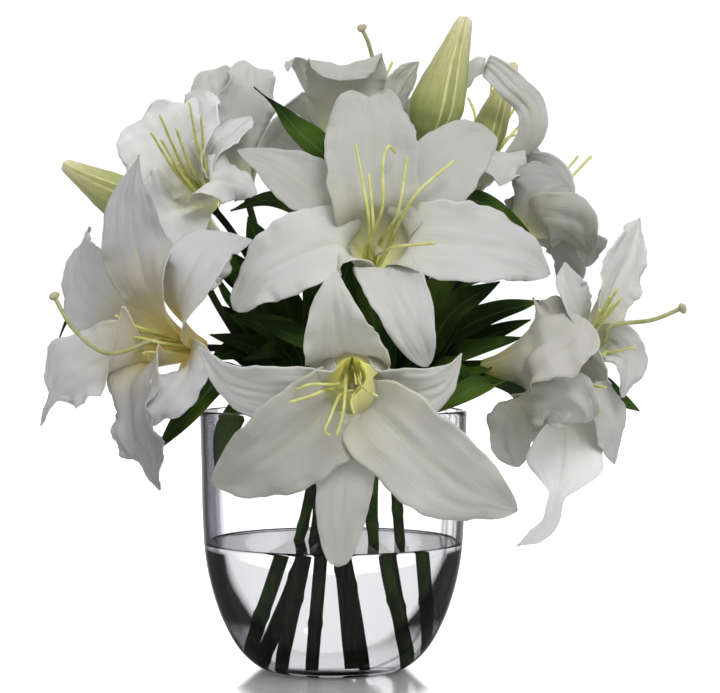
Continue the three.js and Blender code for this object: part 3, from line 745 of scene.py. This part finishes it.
flower(
    "top_back", "plain", Lily((8, 344, 10), (180, 62), 0),
    drawn((4, 366, 2), (7, 385, -2), (8, 402, -5), (7, 410, -12), (6, 406, -21), (5, 398, -27),
          shade="cool_dim", wide=56, tip=0.3, ruffle=3.4, recurve=3),
    drawn((-8, 370, 12), (-15, 392, 16), (-22, 408, 12), (-29, 412, 3), (-31, 405, -3), wide=15, tip=0.5),
    drawn((-14, 368, 44), (-26, 380, 32), (-36, 378, 16), wide=34),
    drawn((8, 372, 70), (8, 364, 98), (8, 344, 114)),
    drawn((38, 370, 50), (50, 360, 74), (54, 340, 88)),
    drawn((35, 375, 15), (45, 392, 20), (58, 411, 30), wide=40),
)
flower(
    "back_right", "plain", Lily((93, 324, 25), (150, 50), 30),
    drawn((88, 352, 22), (80, 350, 6), (74, 338, -2)),
    drawn((75, 350, 60), (60, 352, 80), (48, 340, 95)),
    drawn((95, 345, 85), (90, 335, 110), (85, 315, 125)),
    drawn((125, 345, 80), (140, 335, 100), (150, 315, 108)),
    drawn((121, 345, 22), (135, 363, 14), (134, 380, 8), (123, 392, 4), (112, 403, 4), (102, 409, 6),
          (93, 404, 8), (90, 393, 8), wide=21, widest=0.5, tip=0.4, ruffle=1.8),
    drawn((107, 352, 12), (112, 343, 0), (113, 327, -8), wide=46, ruffle=3),
)
flower(
    "right_back", "shaded", Lily((120, 294, 10), (118, 35), 0),
    drawn((138, 318, 10), (136, 328, 28), (127, 330, 48)),
    drawn((146, 314, 36), (148, 318, 60), (140, 308, 82)),
    drawn((160, 300, 50), (168, 290, 75), (170, 272, 92)),
    drawn((150, 285, 15), (160, 265, 22), (160, 245, 26)),
    drawn((144, 302, -12), (160, 298, -12), (174, 280, -2), shade="cool_dim", wide=46),
    drawn((134, 314, -6), (146, 326, -6), (160, 328, 8), shade="deep", wide=50, tip=0.5),
)
print("lilies made:", ", ".join(LILIES))

# %% [markdown]
# The pollen heads are picked off, as florists do, so only bare pale filaments are left,
# six in each flower, with the longer pistil among them and its three-lobed knob. Where
# the photograph shows a tip, the tip is placed; the others spread evenly.

# %% Filaments and pistils


def four_even(ahead, away):
    return [(ahead, away, clock) for clock in (30, 90, 150, 210)]


SPREAD = [(80, 26, 30), (84, 24, 90), (80, 26, 150), (82, 22, 210), (84, 26, 270), (80, 24, 330)]
TIPS = {
    "upper_front": [
        [(44, 310, -104), (50, 347, -100)],
        [(55, 320, -100), (82, 344, -88)],
        [(40, 285, -112), (69, 288, -128)],
        [(24, 305, -108), (15, 355, -100)],
        [(33, 312, -108), (34, 345, -104), (38, 354, -96), (42, 349, -94)],
        [(27, 300, -108), (24, 335, -106)],
    ],
    "lower_front": [
        [(20, 190, -158), (30, 184, -168)],
        [(12, 180, -160), (14, 172, -170)],
        [(4, 184, -160), (-2, 170, -170), (-6, 160, -172), (-2, 157, -168)],
        [(-6, 188, -158), (-16, 184, -166), (-30, 180, -166)],
        [(0, 192, -158), (-16, 192, -164), (-26, 188, -160)],
        [(8, 188, -160), (6, 170, -172), (2, 157, -172)],
    ],
    "left": [(62, 20, -38), (58, 14, -60), (48, 10, 150), (50, 8, 210), (52, 9, 270), (50, 10, 330)],
    "right": [
        [(193, 257, -66)], [(188, 252, -64)], (50, 10, 150), [(190, 247, -70)], [(181, 243, -64)],
        [(196, 251, -62)],
    ],
    "upper_left": [
        [(-98, 384, -46)], [(-90, 374, -44)], [(-117, 358, -46)], [(-124, 363, -54)], [(-118, 375, -54)],
        [(-107, 366, -50)],
    ],
    "top_back": [*four_even(48, 8), [(33, 405, 30)], [(40, 411, 30)]],
    "right_back": [*four_even(44, 6), [(150, 326, 20), (166, 347, 30)], [(152, 324, 24), (175, 347, 36)]],
}
PISTILS = {
    "left": ("pistil_left", [(-122, 222, -60), (-153, 213, -70), (-176, 229, -74), (-190, 252, -76)]),
    "right": ("pistil_right", [(188, 231, -50), (217, 236, -56), (237, 244, -60)]),
    "top_back": ("pistil_top", [(28, 392, 34), (24, 423, 30), (19, 434, 26)]),
}
SHORT_PISTILS = ("upper_front", "lower_front", "upper_left", "lower_right", "back_left", "back_right",
                 "right_back")
PISTIL_RADIUS = 1.35
SHORT_PISTIL_RADIUS = 1.2

for name, lily in LILIES.items():
    filaments(f"filaments_{name}", lily, TIPS.get(name, SPREAD))
for name, (node, path) in PISTILS.items():
    pistil(name, [seen(p) for p in path], PISTIL_RADIUS, node)
for name in SHORT_PISTILS:
    inside = LILIES[name].inside
    pistil(name, [inside(36, 1, 170), inside(46, 3, 170)], SHORT_PISTIL_RADIUS)

# %% [markdown]
# A closed bud is six petals folded round each other, so its skin has three broad ridges
# and grooves between them. A ball has even rings from pole to pole; each ring is moved
# along the bud's axis and given its radius there, and the ridges wind round it a little.

# %% Buds
BUDS = {
    "bud_top": ((61, 350, 0), (90, 442, 4), 38),
    "bud_right": ((97, 340, 36), (123, 411, 42), 25),
    "bud_left": ((-126, 308, -6), (-184, 342, -12), 31),
}
BUD_PROFILE = [(0.0, 0.06), (0.06, 0.36), (0.15, 0.7), (0.26, 0.95), (0.35, 1.0), (0.5, 0.87), (0.65, 0.68),
               (0.8, 0.5), (0.92, 0.36), (0.98, 0.27), (1.0, 0.04)]
BUD_RIDGES = 3
BUD_TWIST = 0.5


def bud_radius(s):
    """The bud's radius at s, as a share of the widest, half way between straight and smooth."""
    for (a, low), (b, high) in zip(BUD_PROFILE, BUD_PROFILE[1:]):
        if s <= b:
            return mix(low, high, smooth(a, b, s) * 0.35 + 0.65 * (s - a) / (b - a))
    return BUD_PROFILE[-1][1]


def bud_piece(name, foot, tip, wide):
    foot, tip = seen(foot), seen(tip)
    length = (tip - foot).length
    turn = UPWARD.rotation_difference(tip - foot)
    work = bmesh.new()
    bmesh.ops.create_uvsphere(work, u_segments=72, v_segments=56, radius=1.0)
    along, ridge = work.verts.layers.float.new("along"), work.verts.layers.float.new("across")
    for vert in work.verts:
        s = math.acos(min(max(-vert.co.z, -1), 1)) / math.pi
        round_it = math.atan2(vert.co.y, vert.co.x)
        petal_turn = BUD_RIDGES / 2 * (round_it + BUD_TWIST * s)
        broad, fine = abs(math.sin(petal_turn)), 0.5 + 0.5 * math.cos(4 * petal_turn)
        radius = wide / 2 * bud_radius(s) * (0.86 + 0.12 * broad**0.6 + 0.04 * fine)
        vert[along], vert[ridge] = s, 0.7 * broad + 0.3 * fine
        place = Vector((math.cos(round_it) * radius, math.sin(round_it) * radius, length * s))
        place.rotate(turn)
        vert.co = (foot + place) * MM
    return belongs(own_mesh(f"closed_{name}", work, bud_skin), "bud", name)


for name, (foot, tip, wide) in BUDS.items():
    bud_piece(name, foot, tip, wide)
print("buds made:", len(BUDS))

# %% [markdown]
# Nine stems stand on the vase's floor, cross in its mouth and branch into the stalks that
# carry the flowers. Each is a tube with swellings where leaves were stripped off, and one
# is thinner than the rest. A stalk swells a little under its flower.

# %% Stems
STEMS = {
    "stem_1": ([(-44, 6, 14), (-23, 10, 88), (2, 12, 170), (60, 0, 206)], ["right"]),
    "stem_2": ([(-34, 24, 12), (-11, 26, 88), (14, 28, 170), (50, 28, 240)], ["back_right", "bud_right"]),
    "stem_3": ([(-28, -8, 10), (-13, 0, 88), (2, 0, 170), (50, 8, 225)], ["right_back"]),
    "stem_4": ([(-12, -26, 10), (-6, -30, 88), (0, -34, 170), (8, -44, 205)], ["lower_front"]),
    "stem_5": ([(18, -24, 10), (5, -16, 88), (-14, -14, 170), (-50, -18, 200)], ["left", "bud_left"]),
    "stem_6": ([(42, -12, 13), (27, -14, 88), (34, -18, 170), (55, -28, 195)], ["lower_right"]),
    "stem_7": ([(36, 14, 12), (27, 2, 88), (18, -12, 170), (20, -16, 225)], ["upper_front", "bud_top"]),
    "stem_8": ([(50, 2, 20), (45, 2, 88), (38, 8, 170), (24, 22, 260)], ["top_back"]),
    "stem_9": ([(8, 38, 12), (2, 34, 88), (-12, 30, 170), (-40, 18, 250)], ["back_left", "upper_left"]),
}
# the stems that stand in the light take the lit green copy, which is painted light
LIT_GREEN_STEMS = ("stem_1", "stem_6", "stem_8")
THIN_STEMS = ("stem_5",)
STEM_RADIUS = 3.8
THIN = 0.84
STALK_RADIUS = 2.4
STALK_FOOT = 2.9
STALK_SWELLING = 1.6
SWELLINGS = (0, 0.23, 0.47)


def head_of(name):
    """The place where a stalk meets its flower or bud, and the way that it points there."""
    if name in LILIES:
        lily = LILIES[name]
        return lily.foot, lily.axis
    foot, tip, _ = BUDS[name]
    foot, tip = seen(foot), seen(tip)
    return foot, (tip - foot).normalized()


def with_nodes(radius, start):
    """A stem's radius along it, with low swellings at the stripped leaves."""

    def at(s):
        swollen = sum(0.16 * math.exp(-(((s - (start + place)) / 0.012) ** 2)) for place in SWELLINGS)
        return radius * (1 + swollen - 0.08 * s)

    return at


def stalk_radius(s):
    return mix(STALK_FOOT, STALK_RADIUS, smooth(0, 0.3, s)) + STALK_SWELLING * smooth(0.9, 1, s)


for number, (name, (route, heads)) in enumerate(STEMS.items()):
    thick = STEM_RADIUS * (THIN if name in THIN_STEMS else 1)
    tubes = [(route, with_nodes(thick, 0.13 + 0.021 * ((number * 5) % 7)))]
    last, before = Vector(route[-1]), Vector(route[-2])
    for head in heads:
        place, axis = head_of(head)
        middle = last.lerp(place, 0.45) - axis * 8
        tubes.append(([last.lerp(before, 0.06), middle, place - axis * 22, place + axis * 2], stalk_radius))
    skin = stem_skins["green" if name in LIT_GREEN_STEMS else "dark"]
    belongs(tube_piece(f"cut_{name}", tubes, skin, 5), "stem", name)
print("stems made:", len(STEMS))

# %% [markdown]
# Lily leaves are lance-shaped, folded a little along the middle vein, and arch away from
# the stem. They use the same sheet as the petals, with a narrower outline. A leaf is told
# by what it grows on, a stem or a flower's stalk, and by the place's number on the stem.

# %% Leaves
LEAVES = {
    "leaf_under_left": ("stem_5", 3, [(-74, 198, -60), (-98, 173, -70), (-120, 147, -68)], 21),
    "leaf_top_left": ("top_back", 0, [(-2, 344, -5), (-23, 363, -10), (-38, 380, -8), (-54, 394, -2)], 22),
    "leaf_upper_left": ("upper_front", 0, [(-10, 300, -30), (-40, 317, -38), (-70, 310, -35)], 20),
    "leaf_upper_right": ("back_right", 0, [(84, 318, -10), (103, 315, -25), (133, 296, -22)], 15),
    "leaf_far_left": ("bud_left", 0, [(-152, 239, 0), (-176, 241, 5), (-189, 218, 8)], 14),
    "leaf_far_right": ("right", 0, [(160, 199, -12), (178, 191, -16), (194, 182, -12), (208, 174, -4)], 19),
    "leaf_centre_left": ("stem_5", 2, [(-30, 222, -58), (-69, 240, -55)], 28),
    "leaf_centre_back": ("stem_9", 2, [(-43, 225, -20), (-71, 252, -30)], 30),
    "leaf_centre": ("stem_7", 2, [(28, 228, -50), (16, 275, -48)], 30),
    "leaf_right_high": ("stem_6", 3, [(80, 240, -46), (113, 262, -45)], 24),
    "leaf_right_middle": ("stem_1", 3, [(95, 234, -30), (140, 249, -28)], 22),
    "leaf_right_low": ("stem_3", 3, [(95, 222, -20), (134, 236, -20)], 20),
    "leaf_rim_right": ("lower_right", 0,
                       [(121, 186, -80), (105, 192, -92), (88, 186, -98), (60, 170, -96)], 20),
}
MORE_LEAVES = {
    "heart_leaf": [
        ("stem_7", 2, [(40, 230, -30), (56, 270, -34)], 28),
        ("stem_4", 2, [(-8, 232, -40), (-20, 272, -44)], 26),
        ("stem_9", 2, [(-30, 240, -6), (-44, 276, -12)], 28),
        ("stem_3", 2, [(22, 236, -14), (30, 280, -20)], 30),
        ("stem_5", 2, [(-50, 214, -40), (-84, 226, -46)], 22),
        ("stem_6", 2, [(68, 216, -34), (92, 250, -40)], 24),
        ("stem_8", 2, [(66, 250, 4), (96, 278, 2)], 26),
        ("stem_1", 3, [(92, 214, -44), (128, 224, -50)], 20),
        ("stem_2", 3, [(84, 262, 8), (120, 270, 10)], 24),
        ("stem_9", 3, [(-66, 266, 10), (-88, 292, 14)], 24),
        ("stem_4", 3, [(-22, 222, -70), (-52, 236, -72)], 20),
        ("stem_6", 3, [(76, 204, -62), (94, 196, -78)], 18),
    ],
    "mouth_leaf": [
        ("stem_5", 3, [(-66, 172, -12), (-74, 155, -16), (-80, 133, -12)], 17),
    ],
    "side_leaf": [
        ("stem_9", 3, [(-66, 244, -8), (-84, 272, -6)], 10),
        ("stem_9", 3, [(-60, 256, 0), (-76, 290, 4)], 12),
        ("stem_5", 3, [(-58, 226, -10), (-78, 246, -10)], 18),
        ("stem_9", 2, [(-36, 226, -2), (-60, 262, -4)], 26),
        ("stem_5", 3, [(-66, 214, -34), (-84, 208, -44)], 18),
        ("stem_9", 3, [(-48, 280, 14), (-58, 306, 16)], 22),
        ("stem_6", 3, [(72, 228, -10), (104, 246, -8)], 26),
        ("stem_1", 3, [(86, 196, -50), (112, 206, -56)], 22),
        ("stem_4", 2, [(2, 240, -56), (14, 288, -58)], 28),
        ("stem_5", 3, [(-54, 208, -20), (-72, 226, -16)], 24),
        ("stem_5", 2, [(-34, 214, -50), (-62, 208, -52)], 22),
    ],
    "back_leaf": [
        ("stem_9", 2, [(-24, 216, 62), (-52, 250, 88)], 28),
        ("stem_2", 2, [(30, 214, 66), (54, 246, 92)], 28),
        ("stem_8", 2, [(62, 206, 50), (98, 226, 66)], 24),
        ("stem_9", 2, [(-6, 232, 60), (2, 282, 78)], 30),
    ],
}
PLAIN_LEAF = dict(widest=0.5, foot=0.15, tip=0.9)
OWN_SHAPES = {
    "blade_of_leaf_top_left": dict(widest=0.42, foot=0.3, tip=2.6),
    "blade_of_leaf_far_left": dict(widest=0.4, foot=0.2, tip=1.6),
}
LEAF_ROWS = 36
LEAF_COLUMNS = 12
LEAF_THICKNESS = 0.7
LEAF_ARC = 0.3
LEAF_FOLD = 0.16
LEAF_VEIN = 0.5
LEAF_WAVE = 0.1
LIGHT_FROM = Vector((0, -0.75, 0.66))


def joint_of(on, number):
    """Where a leaf starts: at a numbered place of a stem, or a little below a flower."""
    if on in STEMS:
        return Vector(STEMS[on][0][number])
    place, axis = head_of(on)
    return place - axis * 20


def leaf_piece(name, on, number, path, wide, *nodes):
    line = Route([joint_of(on, number)] + [seen(p) for p in path])
    level = (line.at(1) - line.at(0)).cross(LIGHT_FROM)
    seed = letters(name) * 0.211
    shape = OWN_SHAPES.get(name, PLAIN_LEAF)

    def place_at(q, s):
        along = line.along(s)
        across = square_to(along, level).normalized()
        half = max(wide / 2 * outline(s, tail=None, **shape), 0.4)
        lift = half * (1 - math.cos(LEAF_ARC * q)) / LEAF_ARC
        lift += LEAF_FOLD * half * abs(q) - LEAF_VEIN * math.exp(-((q / 0.1) ** 2))
        wave = math.sin(2 * math.pi * (2.2 * s + seed) + (1.6 if q > 0 else 0))
        lift += LEAF_WAVE * half * abs(q) * wave
        return line.at(s) + across * (half * math.sin(LEAF_ARC * q) / LEAF_ARC) + across.cross(along) * lift

    piece = sheet_piece(name, LEAF_COLUMNS, LEAF_ROWS, place_at, leaf_skin, LEAF_THICKNESS)
    return belongs(piece, "leaf", *nodes)


for name, leaf in LEAVES.items():
    leaf_piece(f"blade_of_{name}", *leaf, name)
for name, leaves in MORE_LEAVES.items():
    for number, leaf in enumerate(leaves, 1):
        leaf_piece(f"{name}_{number}" if len(leaves) > 1 else name, *leaf)
print("leaves made:", len(LEAVES) + sum(len(leaves) for leaves in MORE_LEAVES.values()))

# %% [markdown]
# The vase is blown glass, so it is one closed wall: an outside, a rounded rim and an
# inside. Its profile is spun round the axis. The water is spun from the same inside
# profile and reaches a hair into the glass, so that light passes from one to the other
# with no film of air between them.
#
# Glass looks dark where it is seen edge on, since it then mirrors and bends the dark parts
# of a room. That darkness is painted reflection: the glass's colour turns grey and dark as
# it is seen more edge on. The photograph has one dark band at the left edge and thin dark
# lines at the right one, so each half has its own painted ramp from facing to edge on. The
# water has a painted dark band along its wall, standing for what it bends and mirrors,
# which fades toward the bottom, and a painted grey reflection on its surface.

# %% Vase and water
WATER_LEVEL = 85
INTO_GLASS = 0.12
RIM_RADIUS = 1.4
RIM_CENTRE = (89.1, 173.6)
FLOOR_TOP = 8
SPIN_STEPS = 128
PROFILE_STEPS = 70
VASE_OUTSIDE = [(44, 0), (52, 2.6), (64, 13.5), (75, 33), (82, 53), (86.5, 74), (88.6, 100), (89.6, 140),
                (90.5, 173.6)]
VASE_INSIDE = [(87.7, 173.6), (86.6, 140), (85.6, 100), (83.4, 76), (78.8, 55), (71.6, 37), (60.5, 20),
               (48, 11), (34, 8)]


def spun_piece(name, profile, material):
    """A closed body from (radius, height) points, which start and end on the axis."""
    work = bmesh.new()
    chain = [work.verts.new((r * MM, 0, z * MM)) for r, z in profile]
    edges = [work.edges.new(pair) for pair in zip(chain, chain[1:])]
    bmesh.ops.spin(work, geom=chain + edges, cent=(0, 0, 0), axis=(0, 0, 1), angle=2 * math.pi,
                   steps=SPIN_STEPS, use_merge=True)
    return closed_mesh(name, work, material)


def smooth_profile(points):
    line = Route([(r, 0, z) for r, z in points])
    return [(line.at(i / PROFILE_STEPS).x, line.at(i / PROFILE_STEPS).z) for i in range(PROFILE_STEPS + 1)]


glass = Finish("clear_glass", Roughness=0.0, IOR=1.5, Transmission_Weight=1.0)
edge_on = glass.edge_on()
# painted reflection: the glass's colour goes grey and dark where it is seen edge on
clear, grey, dark = (0.985, 0.985, 0.99), (0.17, 0.17, 0.2), (0.1, 0.1, 0.12)
left = glass.ramp(edge_on, [(0.0, clear), (0.5, (0.93, 0.93, 0.95)), (0.57, grey), (0.74, (0.3, 0.3, 0.33)),
                            (0.9, dark)])
right = glass.ramp(edge_on, [(0.0, clear), (0.47, (0.95, 0.95, 0.96)), (0.51, grey), (0.55, clear),
                             (0.66, clear), (0.7, grey), (0.75, clear), (0.85, grey), (0.9, dark)])
glass.give("Base Color", glass.blend(glass.spread(glass.place_on("X"), -0.02, 0.02), left, right))

wet = Finish("still_water", Roughness=0.0, IOR=1.33, Transmission_Weight=1.0)
# painted dark band along the water's wall and a painted grey reflection on its surface
wavy = wet.spread(wet.noise(wet.places(), 14.0, 1.0), 0.3, 0.7, -0.025, 0.025)
band = wet.spread(wet.reckon("ADD", wet.edge_on(), wavy), 0.165, 0.2)
band = wet.times(band, wet.spread(wet.place_on("Z"), 0.008, 0.038))
on_wall = wet.times(band, wet.attribute("wall"))
body = wet.blend(wet.attribute("top"), (0.97, 0.97, 0.98), (0.3, 0.31, 0.34))
wet.give("Base Color", wet.blend(on_wall, body, (0.0006, 0.0006, 0.0007)))

outside = smooth_profile(VASE_OUTSIDE)
inside = smooth_profile(VASE_INSIDE)
rim = [(RIM_CENTRE[0] + RIM_RADIUS * math.cos(a), RIM_CENTRE[1] + RIM_RADIUS * math.sin(a))
       for a in (math.pi * k / 8 for k in range(1, 8))]
vase = spun_piece("blown_vase", [(0, 0), *outside, *rim, *inside, (0, FLOOR_TOP)], glass.material)
belongs(vase, "glass", "vase")

below = [(r + INTO_GLASS, z - INTO_GLASS) for r, z in reversed(inside) if z < WATER_LEVEL]
edge = below[-1][0]
meniscus = [(edge + dr, WATER_LEVEL + dz) for dr, dz in ((0.1, 1.4), (-0.9, 0.5), (-2.6, 0.1), (-5, 0))]
profile = [(0, FLOOR_TOP - INTO_GLASS), *below, *meniscus, (0, WATER_LEVEL)]
water = spun_piece("still_water", profile, wet.material)
wall = water.data.attributes.new("wall", "FLOAT", "POINT")
top = water.data.attributes.new("top", "FLOAT", "POINT")
for vert, at_wall, on_top in zip(water.data.vertices, wall.data, top.data):
    at_wall.value = 1.0 if vert.co.xy.length > 50 * MM and vert.co.z < (WATER_LEVEL - 0.5) * MM else 0.0
    on_top.value = 1.0 if vert.co.z > (WATER_LEVEL - 0.1) * MM else 0.0
belongs(water, "water", "water")
print("the vase has", len(vase.data.polygons), "faces, the water", len(water.data.polygons))

# %% [markdown]
# The stage is a photographer's white sweep: a pale floor with a faint gloss and a white
# surround. The floor glows white but for a patch under the vase, wider in front than at
# the back, where the glow is taken away so the real soft reflection shows; the patch's
# shape is painted shade, drawn to the reflection's outline. What the glass mirrors of the
# floor is painted dark, a painted reflection which gives the vase its edges.

# %% Floor
sweep = Finish("pale_floor", Roughness=0.2, IOR=2.0, Emission_Color=(1, 1, 1, 1))
rays = sweep.add("LightPath").outputs
in_glass = sweep.reckon("GREATER_THAN", rays["Glossy Depth"], 0.5)
paper = sweep.ramp(sweep.noise(sweep.places(), 3.0), [(0.3, (0.44, 0.44, 0.44)), (0.7, (0.46, 0.46, 0.46))])
# painted reflection: the floor is dark only where the glass mirrors it
sweep.give("Base Color", sweep.blend(in_glass, paper, (0.13, 0.13, 0.13)))
# painted shade: the glow is taken away in a patch under the vase, wider in front, where the real reflection
# shows
squashed = sweep.add("Mapping", {"Vector": sweep.places(), "Scale": (1.0, 0.5, 1.0)}).outputs[0]
from_vase = sweep.add("VectorMath", {0: squashed}, operation="LENGTH").outputs["Value"]
off_axis = sweep.reckon("ABSOLUTE", sweep.place_on("X"))
beside = sweep.reckon("MULTIPLY_ADD", sweep.place_on("Y"), 0.174, off_axis)
off_sides, off_ends = sweep.spread(beside, 0.042, 0.053), sweep.spread(from_vase, 0.06, 0.086)
outside_patch = sweep.reckon("MAXIMUM", off_sides, off_ends)
glow = sweep.spread(outside_patch, 0.0, 1.0, 0.08, 0.8)
straight = sweep.reckon("MAXIMUM", rays["Is Camera Ray"], rays["Is Transmission Ray"])
shown = sweep.times(sweep.spread(straight, 0.0, 1.0, 0.25, 1.0), sweep.reckon("SUBTRACT", 1.0, in_glass))
sweep.give("Emission Strength", sweep.times(glow, shown))
work = bmesh.new()
bmesh.ops.create_grid(work, x_segments=4, y_segments=4, size=6.0)
own_mesh("pale_floor", work, sweep.material)
print("the floor is made")

# %% [markdown]
# The room has three sides to it. What is seen straight, also through the glass, is plain
# white. What lights the petals is a soft sky, brighter above. What the glass mirrors is a
# dark room with one bright strip behind it, as in a studio with black cards.

# %% Room
world = bpy.data.worlds.new("white_surround")
bpy.context.scene.world = world
world.use_nodes = True
room = Nodes(world.node_tree)
room.tree.nodes.clear()
direction = room.add("TexCoord").outputs["Generated"]
direction = room.add("SeparateXYZ", {0: direction}).outputs
rays = room.add("LightPath").outputs


def surround(axis, stops, strength):
    """Grey light that changes along one axis of the room; stops are (place, grey)."""
    sky = room.ramp(direction[axis], [(place, (grey, grey, grey)) for place, grey in stops])
    return room.add("Background", {"Color": sky, "Strength": strength}).outputs[0]


def either(share, a, b):
    return room.add("MixShader", {0: share, 1: a, 2: b}).outputs[0]


def none(depth):
    return room.reckon("LESS_THAN", depth, 0.5)


soft = surround("Z", [(0.1, 0.72), (0.95, 1.0)], 0.8)
mirrored = surround("Y", [(0.1, 0.06), (0.88, 0.12), (0.97, 1.0)], 1.15)
white = surround("Z", [(0.0, 1.0), (1.0, 1.0)], 1.05)
straight = room.reckon("MAXIMUM", rays["Is Camera Ray"], rays["Is Transmission Ray"])
turned = room.reckon("ADD", rays["Glossy Depth"], rays["Diffuse Depth"])
in_mirror = room.times(room.reckon("GREATER_THAN", rays["Glossy Depth"], 0.5), none(rays["Diffuse Depth"]))
lit = either(in_mirror, soft, mirrored)
surface = either(room.times(straight, none(turned)), lit, white)
room.add("OutputWorld", {"Surface": surface})
print("the room has", len(room.tree.nodes), "nodes")

# %% [markdown]
# Two large soft lights stand above the bouquet, the brighter one in front at the right,
# a weaker one behind at the left. Neither shows in the glass, where it would be a spot.

# %% Lights
HEART = Vector((0.0, 0.0, 0.25))


def soft_light(name, place, size, power, colour):
    lamp = bpy.data.lights.new(name, "AREA")
    lamp.shape = "DISK"
    lamp.size = size
    lamp.energy = power
    lamp.color = colour
    holder = bpy.data.objects.new(name, lamp)
    bpy.context.scene.collection.objects.link(holder)
    holder.location = place
    holder.rotation_euler = (HEART - Vector(place)).to_track_quat("-Z", "Y").to_euler()
    holder.visible_camera = False
    holder.visible_glossy = False


soft_light("key_light", (0.45, -1.2, 1.4), 0.7, 15, (1.0, 1.0, 0.98))
soft_light("back_light", (-0.7, 1.3, 1.5), 1.2, 8, (0.97, 0.98, 1.0))
print("lights made:", len(bpy.data.lights))

# %% [markdown]
# The camera stands where the photographer's did, a little to the right of the vase and as
# high as the middle of the bouquet. The horizon lies a little above the picture's middle,
# so the camera looks down by that angle.

# %% Camera
LENS_PIXELS = 1913
FRAME_WIDTH = 720
HORIZON_ABOVE_CENTRE = 13.5
SENSOR_WIDTH = 36
camera_data = bpy.data.cameras.new("photo_camera")
camera_data.sensor_width = SENSOR_WIDTH
camera_data.lens = SENSOR_WIDTH * LENS_PIXELS / FRAME_WIDTH
camera = bpy.data.objects.new("photo_camera", camera_data)
bpy.context.scene.collection.objects.link(camera)
camera.location = EYE * MM
camera.rotation_euler = (math.radians(90) - math.atan(HORIZON_ABOVE_CENTRE / LENS_PIXELS), 0, 0)
bpy.context.scene.camera = camera
bpy.context.scene.view_settings.view_transform = "Standard"
print("the lens is", round(camera_data.lens, 1), "mm")
